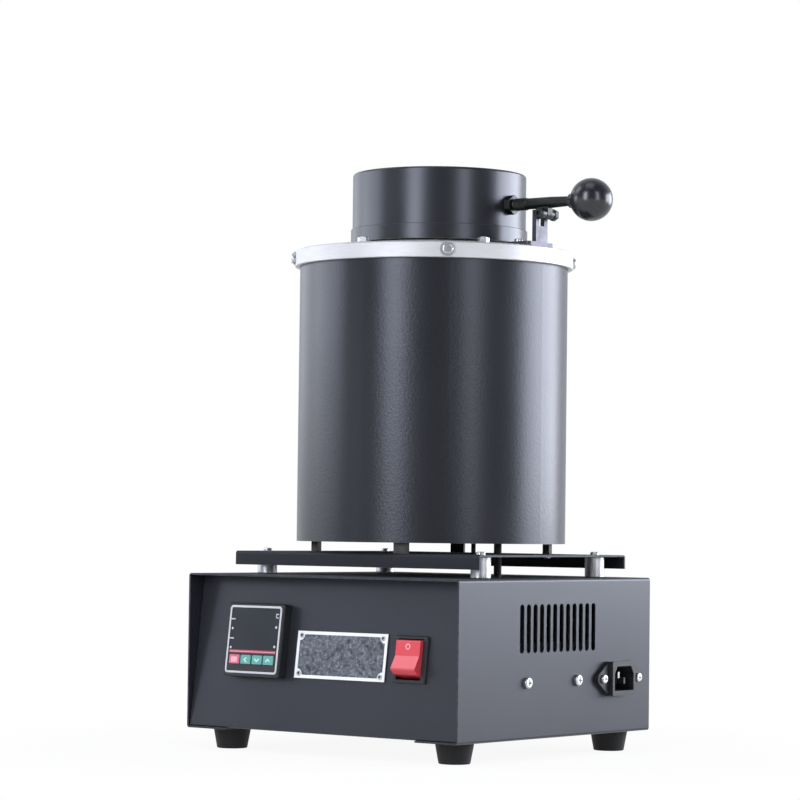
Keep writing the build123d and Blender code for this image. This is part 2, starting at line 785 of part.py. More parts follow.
def inlet_at(x):
    """The right wall's plane at some x, with its origin on the inlet's axis."""
    return Plane(origin=(x, inlet_centre[0], inlet_centre[1]), x_dir=(0, 1, 0), z_dir=(1, 0, 0))


with BuildPart() as inlet_body:
    with BuildSketch(inlet_at(half_width)):
        Rectangle(inlet_frame_width, inlet_flange_height)
        with GridLocations(inlet_screw_spacing + 2 * inlet_ear_margin, 1, 2, 1):
            Circle(inlet_ear_radius)
        make_hull()
    extrude(amount=inlet_flange_thickness)
    with BuildSketch(inlet_at(half_width)):
        RectangleRounded(inlet_frame_width, inlet_flange_height, inlet_frame_corner)
    extrude(amount=inlet_frame_proud)
    with BuildSketch(inlet_at(half_width)):
        Rectangle(inlet_case_width, inlet_case_height)
    extrude(amount=-inlet_body_depth)
    with BuildSketch(inlet_at(half_width + inlet_frame_proud)):
        half_w = inlet_socket_width / 2
        half_h = inlet_socket_height / 2
        with BuildLine():
            Polyline(
                (-half_w, -half_h),
                (half_w, -half_h),
                (half_w, half_h - inlet_socket_corner),
                (half_w - inlet_socket_bevel, half_h),
                (-half_w + inlet_socket_bevel, half_h),
                (-half_w, half_h - inlet_socket_corner),
                close=True,
            )
        make_face()
    extrude(amount=-inlet_socket_depth, mode=Mode.SUBTRACT)
    with BuildSketch(inlet_at(half_width)):
        with GridLocations(inlet_screw_spacing, 1, 2, 1):
            Circle(inlet_screw_radius + hole_gap)
    extrude(amount=inlet_flange_thickness, mode=Mode.SUBTRACT)
    with BuildSketch(inlet_at(half_width)):
        with Locations((-pin_spacing, -earth_pin_rise), (0, earth_pin_rise), (pin_spacing, -earth_pin_rise)):
            Rectangle(pin_width + 2 * running_gap, pin_height + 2 * running_gap)
    extrude(amount=-inlet_body_depth, mode=Mode.SUBTRACT)
save(inlet_body, "inlet_body")

with BuildPart() as inlet_pins:
    with BuildSketch(inlet_at(half_width + inlet_frame_proud - pin_setback)):
        with Locations((-pin_spacing, -earth_pin_rise), (0, earth_pin_rise), (pin_spacing, -earth_pin_rise)):
            Rectangle(pin_width, pin_height)
    extrude(amount=-(inlet_body_depth + inlet_frame_proud - pin_setback + inlet_tab_length))
save(inlet_pins, "inlet_pins")

with BuildPart() as inlet_screws:
    for side in (-1, 1):
        screw_y = inlet_y + side * inlet_screw_spacing / 2
        origin = (half_width + inlet_flange_thickness, screw_y, inlet_centre[1])
        with Locations(Plane(origin=origin, x_dir=(0, 1, 0), z_dir=(1, 0, 0))):
            add(screw(inlet_screw_radius, inlet_screw_length))
save(inlet_screws, "inlet_screws")

with BuildPart() as inlet_nuts:
    for side in (-1, 1):
        origin = (wall_inside, inlet_y + side * inlet_screw_spacing / 2, inlet_centre[1])
        with Locations(Plane(origin=origin, x_dir=(0, 1, 0), z_dir=(-1, 0, 0))):
            add(plain_nut(inlet_screw_radius))
save(inlet_nuts, "inlet_nuts")

# ================================================================ relay on its heat sink
sink_z = cabinet_bottom + side_screw_z
with BuildPart() as heat_sink:
    with BuildSketch(Plane(origin=(wall_inside, side_screw_y, sink_z), x_dir=(0, 1, 0), z_dir=(-1, 0, 0))):
        Rectangle(sink_length, sink_height)
    extrude(amount=sink_base)
    with BuildSketch(
        Plane(origin=(wall_inside - sink_base, side_screw_y, sink_z), x_dir=(0, 1, 0), z_dir=(-1, 0, 0))
    ):
        with GridLocations(sink_fin_spacing, 1, 2, 1):
            Rectangle(sink_fin, sink_height)
        with Locations((-sink_length / 2 + sink_fin / 2, 0), (sink_length / 2 - sink_fin / 2, 0)):
            Rectangle(sink_fin, sink_height)
    extrude(amount=sink_depth - sink_base)
    with BuildSketch(right_wall):
        with Locations((side_screw_y, sink_z)):
            with GridLocations(side_screw_spacing, 1, 2, 1):
                Circle(side_screw_radius + running_gap)
    extrude(amount=-(sheet + sink_base), mode=Mode.SUBTRACT)
save(heat_sink, "heat_sink")

with BuildPart() as side_screws:
    for side in (-1, 1):
        origin = (half_width, side_screw_y + side * side_screw_spacing / 2, sink_z)
        with Locations(Plane(origin=origin, x_dir=(0, 1, 0), z_dir=(1, 0, 0))):
            add(screw(side_screw_radius, sheet + sink_base - seat_gap))
save(side_screws, "side_screws")

with BuildPart() as solid_state_relay:
    with BuildSketch(
        Plane(origin=(wall_inside - sink_depth, side_screw_y, sink_z), x_dir=(0, 1, 0), z_dir=(-1, 0, 0))
    ):
        RectangleRounded(relay_length, relay_height, relay_corner)
    extrude(amount=relay_thickness)
save(solid_state_relay, "solid_state_relay")

# ================================================================ terminal block under the drum
wired_places = [*lead_places, thermocouple_lead_place]
block_low = [min(place[way] for place in wired_places) - block_margin for way in (0, 1)]
block_high = [max(place[way] for place in wired_places) + block_margin for way in (0, 1)]
block_top = chassis_floor + block_height
with BuildPart() as terminal_block:
    with BuildSketch(Plane.XY.offset(chassis_floor)):
        with Locations(((block_low[0] + block_high[0]) / 2, (block_low[1] + block_high[1]) / 2)):
            Rectangle(block_high[0] - block_low[0], block_high[1] - block_low[1])
    extrude(amount=block_height)
save(terminal_block, "terminal_block")

# ================================================================ platform tray on its standoffs
with BuildPart() as platform_tray:
    with BuildSketch(Plane.YZ.offset(-tray_width / 2)):
        with Locations((furnace_y, tray_top - tray_flange)):
            RectangleRounded(tray_depth, 2 * tray_flange, bend)
            RectangleRounded(
                tray_depth - 2 * sheet, 2 * tray_flange - 2 * sheet, bend - sheet, mode=Mode.SUBTRACT
            )
        with Locations((furnace_y, tray_top - 1.5 * tray_flange)):
            Rectangle(tray_depth + tray_flange, tray_flange, mode=Mode.SUBTRACT)
    extrude(amount=tray_width)
    with BuildSketch(Plane.XY.offset(tray_top)):
        with Locations((0, furnace_y)):
            with GridLocations(standoff_spacing_x, standoff_spacing_y, 2, 2):
                Circle(standoff_screw_radius + hole_gap)
        with Locations(*lead_places):
            Circle(sleeve_radius + sleeve_gap)
        with Locations(thermocouple_lead_place):
            Circle(sleeve_radius)
        with Locations(*around_drum(leg_first_angle, leg_circle_radius, tray_top)):
            Circle(leg_screw_radius + hole_gap)
    extrude(amount=2 * sheet, both=True, mode=Mode.SUBTRACT)
save(platform_tray, "platform_tray")

standoff_height = tray_bottom - cabinet_top
standoff_places = [
    (side_x * standoff_spacing_x / 2, furnace_y + side_y * standoff_spacing_y / 2)
    for side_x in (-1, 1)
    for side_y in (-1, 1)
]
with BuildPart() as tray_standoffs:
    for x, y in standoff_places:
        with BuildSketch(Plane(origin=(x, y, cabinet_top))):
            Circle(standoff_radius)
            Circle(standoff_screw_radius + hole_gap, mode=Mode.SUBTRACT)
        extrude(amount=standoff_height)
    end_edges = tray_standoffs.edges().filter_by(GeomType.CIRCLE)
    chamfer(end_edges.filter_by(lambda edge: edge.radius == standoff_radius), standoff_edge)
save(tray_standoffs, "tray_standoffs")

with BuildPart() as standoff_screws:
    standoff_stack = sheet + standoff_height + sheet + nut_rise * standoff_screw_radius
    standoff_screw = screw(standoff_screw_radius, standoff_stack + screw_tail)
    for x, y in standoff_places:
        with Locations((x, y, tray_top)):
            add(standoff_screw)
save(standoff_screws, "standoff_screws")

with BuildPart() as standoff_nuts:
    for x, y in standoff_places:
        with Locations(Plane(origin=(x, y, cabinet_top - sheet), z_dir=(0, 0, -1))):
            add(plain_nut(standoff_screw_radius))
save(standoff_nuts, "standoff_nuts")

# ================================================================ drum
with BuildPart() as furnace_legs:
    for place in around_drum(leg_first_angle, leg_circle_radius, tray_top):
        with BuildSketch(place):
            Rectangle(leg_thickness, leg_width)
            Circle(leg_screw_radius + hole_gap, mode=Mode.SUBTRACT)
        extrude(amount=base_bottom - tray_top)
save(furnace_legs, "furnace_legs")

with BuildPart() as leg_screws:
    for place in around_drum(leg_first_angle, leg_circle_radius, tray_bottom):
        with Locations(Plane(origin=place.origin, z_dir=(0, 0, -1))):
            add(screw(leg_screw_radius, base_top - tray_bottom - seat_gap))
save(leg_screws, "leg_screws")

with BuildPart() as furnace_base:
    with BuildSketch(Plane(origin=(0, furnace_y, base_bottom))):
        Circle(inner_radius)
    extrude(amount=base_thickness)
    with BuildSketch(Plane.XY.offset(base_bottom)):
        with Locations(*lead_places):
            Circle(sleeve_radius + refractory_gap)
        with Locations(thermocouple_lead_place):
            Circle(sleeve_radius)
        with Locations(*tie_rod_planes(base_bottom)):
            Circle(tie_rod_radius + hole_gap)
        with Locations(*around_drum(leg_first_angle, leg_circle_radius, base_bottom)):
            Circle(leg_screw_radius + hole_gap)
    extrude(amount=base_thickness, mode=Mode.SUBTRACT)
save(furnace_base, "furnace_base")

with BuildPart() as furnace_shell:
    with BuildSketch(Plane(origin=(0, furnace_y, drum_bottom))):
        Circle(shell_radius)
        Circle(shell_radius - shell_wall, mode=Mode.SUBTRACT)
    extrude(amount=shell_height)
    for quarter in range(4):
        with BuildSketch(on_drum(ring_screw_angle + 90 * quarter, shell_radius, ring_screw_z)):
            Circle(ring_screw_radius + hole_gap)
        extrude(amount=3 * shell_wall, both=True, mode=Mode.SUBTRACT)
save(furnace_shell, "furnace_shell")

with BuildPart() as top_ring:
    with BuildSketch(Plane(origin=(0, furnace_y, ring_bottom))):
        Circle(ring_radius)
    extrude(amount=ring_height)
    fillet(top_ring.edges().group_by(Axis.Z)[-1], ring_edge)
    chamfer(top_ring.edges().group_by(Axis.Z)[0], ring_lower_edge)
    with BuildSketch(Plane(origin=(0, furnace_y, ring_bottom))):
        Circle(shell_radius + seat_gap)
    extrude(amount=ring_height - ring_plate, mode=Mode.SUBTRACT)
    with BuildSketch(Plane(origin=(0, furnace_y, plate_underside))):
        Circle(collar_radius + seat_gap)
    extrude(amount=ring_plate, mode=Mode.SUBTRACT)
    with BuildSketch(Plane.XY.offset(plate_underside)):
        with Locations(*tie_rod_planes(plate_underside)):
            Circle(tie_rod_radius + hole_gap)
        with Locations((screw_x, furnace_y)):
            with GridLocations(1, bracket_screw_spacing, 1, 2):
                Circle(bracket_screw_radius + hole_gap)
    extrude(amount=ring_plate, mode=Mode.SUBTRACT)
    for quarter in range(4):
        with BuildSketch(on_drum(ring_screw_angle + 90 * quarter, ring_radius, ring_screw_z)):
            Circle(ring_screw_radius + hole_gap)
        extrude(amount=-2 * (ring_radius - shell_radius), mode=Mode.SUBTRACT)
save(top_ring, "top_ring")

with BuildPart() as ring_screws:
    for quarter in range(4):
        with Locations(on_drum(ring_screw_angle + 90 * quarter, ring_radius, ring_screw_z)):
            add(screw(ring_screw_radius, ring_screw_length, socket=True, washer=ring_washer_radius))
save(ring_screws, "ring_screws")

# The thermocouple's route: up from the terminal block, across inside the floor brick, and up again
# between the crucible and the muffle.
with BuildLine() as thermocouple_path:
    FilletPolyline(
        (*thermocouple_lead_place, block_top),
        (*thermocouple_lead_place, base_top + floor_brick / 2),
        (thermocouple_circle, furnace_y, base_top + floor_brick / 2),
        (thermocouple_circle, furnace_y, brick_top + thermocouple_rise),
        radius=thermocouple_bend,
    )

with BuildPart() as thermocouple:
    with BuildSketch(Plane(origin=thermocouple_path.line @ 0, z_dir=thermocouple_path.line % 0)):
        Circle(thermocouple_radius)
    sweep(path=thermocouple_path.line)
save(thermocouple, "thermocouple")

# Refractory floor under the muffle, drilled for the leads and the tie rods.
with BuildPart() as floor_refractory:
    with BuildSketch(Plane(origin=(0, furnace_y, base_top))):
        Circle(inner_radius)
    extrude(amount=floor_brick)
    with BuildSketch(Plane.XY.offset(base_top)):
        with Locations(*lead_places):
            Circle(sleeve_radius + refractory_gap)
        with Locations(*tie_rod_planes(base_top)):
            Circle(tie_rod_radius + refractory_gap)
    extrude(amount=floor_brick, mode=Mode.SUBTRACT)
    with BuildSketch(Plane(origin=thermocouple_path.line @ 0, z_dir=thermocouple_path.line % 0)):
        Circle(thermocouple_radius + refractory_gap / 2)
    sweep(path=thermocouple_path.line, mode=Mode.SUBTRACT)
save(floor_refractory, "floor_refractory")

with BuildPart() as heating_muffle:
    with BuildSketch(Plane(origin=(0, furnace_y, brick_top))):
        Circle(muffle_radius)
        Circle(muffle_bore, mode=Mode.SUBTRACT)
    extrude(amount=muffle_top - brick_top)
save(heating_muffle, "heating_muffle")

# Heating element: wire wound round the muffle, with a straight tail out to each lead.
coil_bottom = brick_top + element_margin
coil_height = muffle_top - brick_top - 2 * element_margin
coil_turns = element_turns + (lead_angles[1] - lead_angles[0]) / 360
with BuildPart() as heating_element:
    start = Plane(
        origin=(0, furnace_y, coil_bottom),
        x_dir=(cos(radians(lead_angles[0])), sin(radians(lead_angles[0])), 0),
        z_dir=(0, 0, 1),
    )
    with BuildLine(start) as coil_path:
        Helix(pitch=coil_height / coil_turns, height=coil_height, radius=coil_radius)
    with BuildSketch(Plane(origin=coil_path.line @ 0, z_dir=coil_path.line % 0)):
        Circle(element_wire_radius)
    sweep(path=coil_path.line, is_frenet=True)
save(heating_element, "heating_element")

# Straight sleeves from the terminal block up to the ends of the coil, with a tail to each end.
coil_ends = (coil_bottom, coil_bottom + coil_height)
tail_start = coil_radius + element_wire_radius + tail_gap
with BuildPart() as element_leads:
    for place, angle, radius, end_z in zip(lead_places, lead_angles, lead_radii, coil_ends):
        with BuildSketch(Plane(origin=(*place, block_top))):
            Circle(sleeve_radius)
        extrude(amount=end_z + sleeve_radius - block_top)
        with BuildSketch(on_drum(angle, tail_start, end_z)):
            Circle(element_wire_radius)
        extrude(amount=radius - tail_start)
save(element_leads, "element_leads")

# Ceramic-fibre blanket between the coil and the shell.
with BuildPart() as fibre_blanket:
    with BuildSketch(Plane(origin=(0, furnace_y, brick_top))):
        Circle(inner_radius)
        Circle(blanket_bore, mode=Mode.SUBTRACT)
    extrude(amount=muffle_top - brick_top)
    with BuildSketch(Plane.XY.offset(brick_top)):
        with Locations(*tie_rod_planes(brick_top)):
            Circle(tie_rod_radius + refractory_gap)
    extrude(amount=muffle_top - brick_top, mode=Mode.SUBTRACT)
    for place, angle, radius, end_z in zip(lead_places, lead_angles, lead_radii, coil_ends):
        with BuildSketch(Plane(origin=(*place, brick_top))):
            Circle(sleeve_radius + refractory_gap)
        extrude(amount=end_z + sleeve_radius + refractory_gap - brick_top, mode=Mode.SUBTRACT)
        with BuildSketch(on_drum(angle, tail_start, end_z)):
            Circle(element_wire_radius + refractory_gap)
        extrude(amount=radius - tail_start, mode=Mode.SUBTRACT)
save(fibre_blanket, "fibre_blanket")

# Refractory top: a brick under the ring's plate, with a collar that rises through it to the lid.
with BuildPart() as mouth_refractory:
    with BuildSketch(Plane(origin=(0, furnace_y, muffle_top))):
        Circle(inner_radius)
    extrude(amount=top_brick)
    with BuildSketch(Plane(origin=(0, furnace_y, muffle_top))):
        Circle(collar_radius)
    extrude(amount=collar_top - muffle_top)
    fillet(mouth_refractory.edges().group_by(Axis.Z)[-1], collar_edge)
    with BuildSketch(Plane(origin=(0, furnace_y, muffle_top))):
        Circle(muffle_bore)
    extrude(amount=collar_top - muffle_top, mode=Mode.SUBTRACT)
    with BuildSketch(Plane.XY.offset(muffle_top)):
        with Locations(*tie_rod_planes(muffle_top)):
            Circle(tie_rod_radius + refractory_gap)
        with Locations((screw_x, furnace_y)):
            with GridLocations(1, bracket_screw_spacing, 1, 2):
                Circle(bracket_screw_radius + refractory_gap)
    extrude(amount=top_brick, mode=Mode.SUBTRACT)
    for quarter in range(4):
        with BuildSketch(on_drum(ring_screw_angle + 90 * quarter, shell_radius, ring_screw_z)):
            Circle(ring_screw_radius + refractory_gap)
        extrude(amount=-ring_screw_length, mode=Mode.SUBTRACT)
save(mouth_refractory, "mouth_refractory")

# Tie rods that clamp the base, the bricks and the ring together, with nuts at both ends.
rod_nut = plain_nut(tie_rod_radius, washer=tie_rod_washer_radius)
rod_nut_rise = washer_rise + nut_rise * tie_rod_radius + tie_rod_tail
with BuildPart() as tie_rods:
    for place in tie_rod_planes(base_bottom - rod_nut_rise):
        with BuildSketch(place):
            Circle(tie_rod_radius)
        extrude(amount=ring_top + rod_nut_rise - place.origin.Z)
save(tie_rods, "tie_rods")

with BuildPart() as tie_rod_nuts:
    for place in tie_rod_planes(ring_top):
        with Locations(place):
            add(rod_nut)
    for place in tie_rod_planes(base_bottom):
        with Locations(Plane(origin=place.origin, z_dir=(0, 0, -1))):
            add(rod_nut)
save(tie_rod_nuts, "tie_rod_nuts")

# Refractory rest and the graphite crucible that stands on it.
with BuildPart() as crucible_rest:
    with BuildSketch(Plane(origin=(0, furnace_y, brick_top))):
        Circle(rest_radius)
    extrude(amount=rest_height)
save(crucible_rest, "crucible_rest")

crucible_bottom = brick_top + rest_height
crucible_top = collar_top - crucible_drop
cavity_radius = crucible_radius - crucible_wall
with BuildPart() as crucible:
    with BuildSketch(lever_plane):
        with BuildLine():
            Polyline(
                (0, crucible_bottom),
                (crucible_radius - crucible_bevel, crucible_bottom),
                (crucible_radius, crucible_bottom + crucible_bevel),
                (crucible_radius, crucible_top - crucible_bevel),
                (crucible_radius - crucible_bevel, crucible_top),
                (cavity_radius + crucible_bevel, crucible_top),
                (cavity_radius, crucible_top - crucible_bevel),
                (cavity_radius, crucible_bottom + crucible_floor + crucible_hollow),
                (cavity_radius - crucible_hollow, crucible_bottom + crucible_floor),
                (0, crucible_bottom + crucible_floor),
                close=True,
            )
        make_face()
    revolve(axis=Axis((0, furnace_y, 0), (0, 0, 1)))
save(crucible, "graphite_crucible")

# ================================================================ hinge
slot_depth = pivot_drop + seat_gap
slot_width = lug_thickness + 2 * lug_gap
strap_top = rod_z - rod_radius - strap_under_rod
with BuildPart() as hinge_bracket:
    with BuildSketch(Plane(origin=(strap_face_x - bracket_foot_length / 2, furnace_y, ring_top))):
        RectangleRounded(bracket_foot_length, bracket_foot_width, bracket_foot_corner)
        with Locations((-bracket_screw_shift, 0)):
            with GridLocations(1, bracket_screw_spacing, 1, 2):
                Circle(bracket_screw_radius + hole_gap, mode=Mode.SUBTRACT)
    extrude(amount=strap_thickness)
    with BuildSketch(Plane.YZ.offset(strap_face_x - strap_thickness)):
        with Locations((furnace_y, (ring_top + strap_top) / 2)):
            Rectangle(strap_width, strap_top - ring_top)
    extrude(amount=strap_thickness)
    with BuildSketch(lever_plane):
        with Locations((pivot_x, pivot_z)):
            Circle(knuckle_radius)
        with Locations((pivot_x - knuckle_radius, pivot_z)):
            Rectangle(knuckle_radius, knuckle_web)
    extrude(amount=strap_width / 2, both=True)
    with BuildSketch(Plane.YZ.offset(strap_face_x - strap_thickness)):
        with Locations((furnace_y, strap_top)):
            Rectangle(slot_width, 2 * (strap_top - pivot_z + slot_depth))
    extrude(amount=strap_thickness + 3 * knuckle_radius, mode=Mode.SUBTRACT)
    with BuildSketch(lever_plane):
        with Locations((pivot_x, pivot_z)):
            Circle(bolt_radius + running_gap)
    extrude(amount=strap_width, both=True, mode=Mode.SUBTRACT)
save(hinge_bracket, "hinge_bracket")

with BuildPart() as bracket_screws:
    for side in (-1, 1):
        with Locations((screw_x, furnace_y + side * bracket_screw_spacing / 2, ring_top + strap_thickness)):
            add(screw(bracket_screw_radius, bracket_screw_length))
save(bracket_screws, "bracket_screws")

bolt_face = furnace_y - strap_width / 2
with BuildPart() as pivot_bolt:
    with Locations(Plane(origin=(pivot_x, bolt_face, pivot_z), x_dir=(1, 0, 0), z_dir=(0, -1, 0))):
        add(screw(bolt_radius, strap_width + nut_rise * bolt_radius + screw_tail, socket=True))
save(pivot_bolt, "pivot_bolt")

with BuildPart() as pivot_nut:
    with Locations(Plane(origin=(pivot_x, furnace_y + strap_width / 2, pivot_z), z_dir=(0, 1, 0))):
        add(plain_nut(bolt_radius))
save(pivot_nut, "pivot_nut")

# ================================================================ lid and lever
with BuildPart() as lid_cap:
    with BuildSketch(Plane(origin=(lid_offset, furnace_y, lid_bottom + lid_lip))):
        Circle(lid_radius)
    extrude(amount=lid_height - lid_lip)
    fillet(lid_cap.edges().group_by(Axis.Z)[-1], lid_edge)
    with BuildSketch(Plane(origin=(lid_offset, furnace_y, lid_bottom + lid_lip))):
        Circle(lid_radius - lid_wall)
    extrude(amount=lid_height - lid_lip - lid_wall, mode=Mode.SUBTRACT)
    with BuildSketch(Plane.YZ.offset(lid_offset + lid_radius)):
        with Locations((furnace_y, rod_z)):
            Circle(rod_radius + rod_play)
    extrude(amount=-4 * lid_wall, mode=Mode.SUBTRACT)
save(lid_cap, "lid_cap")

with BuildPart() as lid_band:
    with BuildSketch(Plane(origin=(lid_offset, furnace_y, lid_bottom))):
        Circle(lid_band_radius)
    extrude(amount=lid_band_height)
    chamfer(lid_band.edges().group_by(Axis.Z)[-1], lid_band_edge)
    with BuildSketch(Plane(origin=(lid_offset, furnace_y, lid_bottom + lid_lip))):
        Circle(lid_radius + running_gap)
    extrude(amount=lid_band_height - lid_lip, mode=Mode.SUBTRACT)
    with BuildSketch(Plane(origin=(lid_offset, furnace_y, lid_bottom))):
        Circle(lid_band_radius - lid_lip_width)
    extrude(amount=lid_lip, mode=Mode.SUBTRACT)
save(lid_band, "lid_band")

pocket_length = rod_inner_reach + nut_pocket
with BuildPart() as lid_insulation:
    with BuildSketch(Plane(origin=(lid_offset, furnace_y, lid_bottom + lid_lip))):
        Circle(lid_radius - lid_wall - seat_gap)
    extrude(amount=lid_height - lid_lip - lid_wall - seat_gap)
    with BuildSketch(Plane.YZ.offset(lid_offset + lid_radius)):
        with Locations((furnace_y, rod_z)):
            Rectangle(nut_flats + nut_pocket, nut_flats + nut_pocket)
    extrude(amount=-pocket_length, mode=Mode.SUBTRACT)
save(lid_insulation, "lid_insulation")

# Lever: a rod that tapers towards the ball, with the hinge's eye welded under it.
rod_start = lid_offset + lid_radius - lid_wall - rod_inner_reach
rod_end = ball_x - ball_socket
with BuildPart() as lever_rod:
    with BuildSketch(lever_plane):
        with BuildLine():
            Polyline(
                (rod_start, rod_z),
                (rod_start, rod_z + rod_radius),
                (taper_start, rod_z + rod_radius),
                (ball_x - ball_radius, rod_z + rod_tip_radius),
                (rod_end, rod_z + rod_tip_radius),
                (rod_end, rod_z),
                close=True,
            )
        make_face()
    revolve(axis=Axis((rod_start, furnace_y, rod_z), (1, 0, 0)))
    with BuildSketch(lever_plane):
        with Locations((pivot_x, pivot_z)):
            Circle(lug_radius)
        with Locations((pivot_x, pivot_z + pivot_drop / 2)):
            Rectangle(2 * lug_radius, pivot_drop)
        with Locations((pivot_x, pivot_z)):
            Circle(bolt_radius + running_gap, mode=Mode.SUBTRACT)
    extrude(amount=lug_thickness / 2, both=True)
save(lever_rod, "lever_rod")

with BuildPart() as lever_nuts:
    outer_face = lid_offset + lid_radius + running_gap
    inner_face = lid_offset + lid_radius - lid_wall - inner_nut_gap
    with Locations(Plane(origin=(outer_face, furnace_y, rod_z), x_dir=(0, 0, 1), z_dir=(1, 0, 0))):
        add(hex_nut(rod_radius, nut_flats, nut_thickness))
    with Locations(Plane(origin=(inner_face, furnace_y, rod_z), x_dir=(0, 0, 1), z_dir=(-1, 0, 0))):
        add(hex_nut(rod_radius, nut_flats, nut_thickness))
save(lever_nuts, "lever_nuts")

with BuildPart() as ball_knob:
    with Locations((ball_x, furnace_y, rod_z)):
        Sphere(ball_radius)
    with BuildSketch(Plane.YZ.offset(ball_x - ball_radius - ball_neck)):
        with Locations((furnace_y, rod_z)):
            Circle(ball_neck_radius)
    extrude(amount=ball_radius)
    with BuildSketch(Plane.YZ.offset(ball_x - ball_radius - 2 * ball_neck)):
        with Locations((furnace_y, rod_z)):
            Circle(rod_tip_radius + rod_play)
    extrude(amount=ball_radius + 2 * ball_neck - ball_socket + seat_gap, mode=Mode.SUBTRACT)
save(ball_knob, "ball_knob")
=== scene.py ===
"""Looks for an electric furnace for melting gold: finishes for every part, printed marks and plates,
and a plain white studio. Lengths are metres, or so many times MM; +Z is up, -Y is the front."""

import json
import math

import bmesh
import bpy
from mathutils import Matrix, Vector


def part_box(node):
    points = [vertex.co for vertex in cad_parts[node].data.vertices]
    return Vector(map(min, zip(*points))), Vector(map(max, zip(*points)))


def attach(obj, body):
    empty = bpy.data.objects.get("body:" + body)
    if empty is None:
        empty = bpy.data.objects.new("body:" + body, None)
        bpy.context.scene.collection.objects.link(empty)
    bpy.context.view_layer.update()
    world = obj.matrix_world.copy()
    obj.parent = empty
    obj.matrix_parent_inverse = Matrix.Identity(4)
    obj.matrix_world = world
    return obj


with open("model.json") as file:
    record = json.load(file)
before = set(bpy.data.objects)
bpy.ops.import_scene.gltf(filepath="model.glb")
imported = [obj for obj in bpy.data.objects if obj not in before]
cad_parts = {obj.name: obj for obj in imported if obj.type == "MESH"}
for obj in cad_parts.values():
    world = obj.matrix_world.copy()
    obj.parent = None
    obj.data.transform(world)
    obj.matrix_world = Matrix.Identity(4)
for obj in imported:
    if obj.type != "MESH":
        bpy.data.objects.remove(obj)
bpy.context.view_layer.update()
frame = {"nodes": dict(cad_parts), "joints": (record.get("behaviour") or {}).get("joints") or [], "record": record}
MM = 0.001


def add_to_scene(thing):
    """Puts an object into the scene's own collection, and returns it."""
    bpy.context.scene.collection.objects.link(thing)
    return thing


def facing(place, aim):
    """The turn that makes a camera or a lamp at a place look at a point."""
    return (aim - place).to_track_quat("-Z", "Y")


# ---------------------------------------------------------------- camera
camera_place = Vector((1.2460, -1.6004, 0.1490))
camera_aim = Vector((0.0063, -0.0331, 0.2313))
camera_roll = math.radians(0.70)
camera_lens = 136.43  # in millimetres, as the sensor's width is
sensor_width = 36.0
nearest_drawn = 0.05

camera_data = bpy.data.cameras.new("camera")
camera_data.lens = camera_lens
camera_data.sensor_width = sensor_width
camera_data.clip_start = nearest_drawn
camera = add_to_scene(bpy.data.objects.new("camera", camera_data))
camera.matrix_world = (
    Matrix.Translation(camera_place)
    @ facing(camera_place, camera_aim).to_matrix().to_4x4()
    @ Matrix.Rotation(camera_roll, 4, "Z")
)
bpy.context.scene.camera = camera
bpy.context.scene.view_settings.view_transform = "Standard"


# ---------------------------------------------------------------- places taken from the frame
def middle(node):
    """The centre of a CAD node's box."""
    low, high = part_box(node)
    return (low + high) / 2


def moved_to(point, way, reach):
    """The point moved along a unit vector until it lies that far from the origin along it."""
    return point + way * (reach - point.dot(way))


# A key goes straight into the sloping panel, so the way out of the panel is against its travel.
key_slide = next(joint for joint in frame["joints"] if joint["name"] == "key_set_press")
panel_out = -Vector(key_slide["axis"])
panel_across = Vector((1, 0, 0))
panel_up = panel_out.cross(panel_across)
panel_turn = Matrix((panel_across, panel_up, panel_out)).transposed().to_4x4()


def face_plane(node):
    """A plane on the outermost flat face of a node on the sloping panel: its middle, with x across,
    y up the slope and z out of the panel."""
    vertices = frame["nodes"][node].data.vertices
    reach = max(vertex.co.dot(panel_out) for vertex in vertices)
    return Matrix.Translation(moved_to(middle(node), panel_out, reach)) @ panel_turn


# ---------------------------------------------------------------- building with shader nodes
def new_group(name, inputs, outputs):
    """An empty node group with named sockets, and its input and output nodes."""
    tree = bpy.data.node_groups.new(name, "ShaderNodeTree")
    for label, kind, value in inputs:
        socket = tree.interface.new_socket(label, in_out="INPUT", socket_type=kind)
        socket.default_value = value
    for label, kind in outputs:
        tree.interface.new_socket(label, in_out="OUTPUT", socket_type=kind)
    return tree, tree.nodes.new("NodeGroupInput"), tree.nodes.new("NodeGroupOutput")


def feed(tree, socket, value):
    """Sets an input to a number, or links another node's output to it."""
    if isinstance(value, (int, float)):
        socket.default_value = value
    else:
        tree.links.new(value, socket)


def math_node(tree, operation, first, second=None, clamp=False):
    """A Math node with sockets or numbers on its inputs. Returns its output."""
    node = tree.nodes.new("ShaderNodeMath")
    node.operation = operation
    node.use_clamp = clamp
    feed(tree, node.inputs[0], first)
    if second is not None:
        feed(tree, node.inputs[1], second)
    return node.outputs[0]


def above(tree, value, level, gain):
    """A mask that rises from 0 where a value passes a level; a higher gain gives a harder edge."""
    over = math_node(tree, "SUBTRACT", value, level)
    return math_node(tree, "MULTIPLY", over, gain, clamp=True)


def noise_node(tree, place, scale, detail=3.0):
    """A Noise texture at a place, with a number or a socket for its scale. Returns its value."""
    node = tree.nodes.new("ShaderNodeTexNoise")
    node.inputs["Detail"].default_value = detail
    tree.links.new(place, node.inputs["Vector"])
    feed(tree, node.inputs["Scale"], scale)
    return node.outputs["Fac"]


def object_place(tree):
    """The point being shaded, in the piece's own coordinates."""
    return tree.nodes.new("ShaderNodeTexCoord").outputs["Object"]


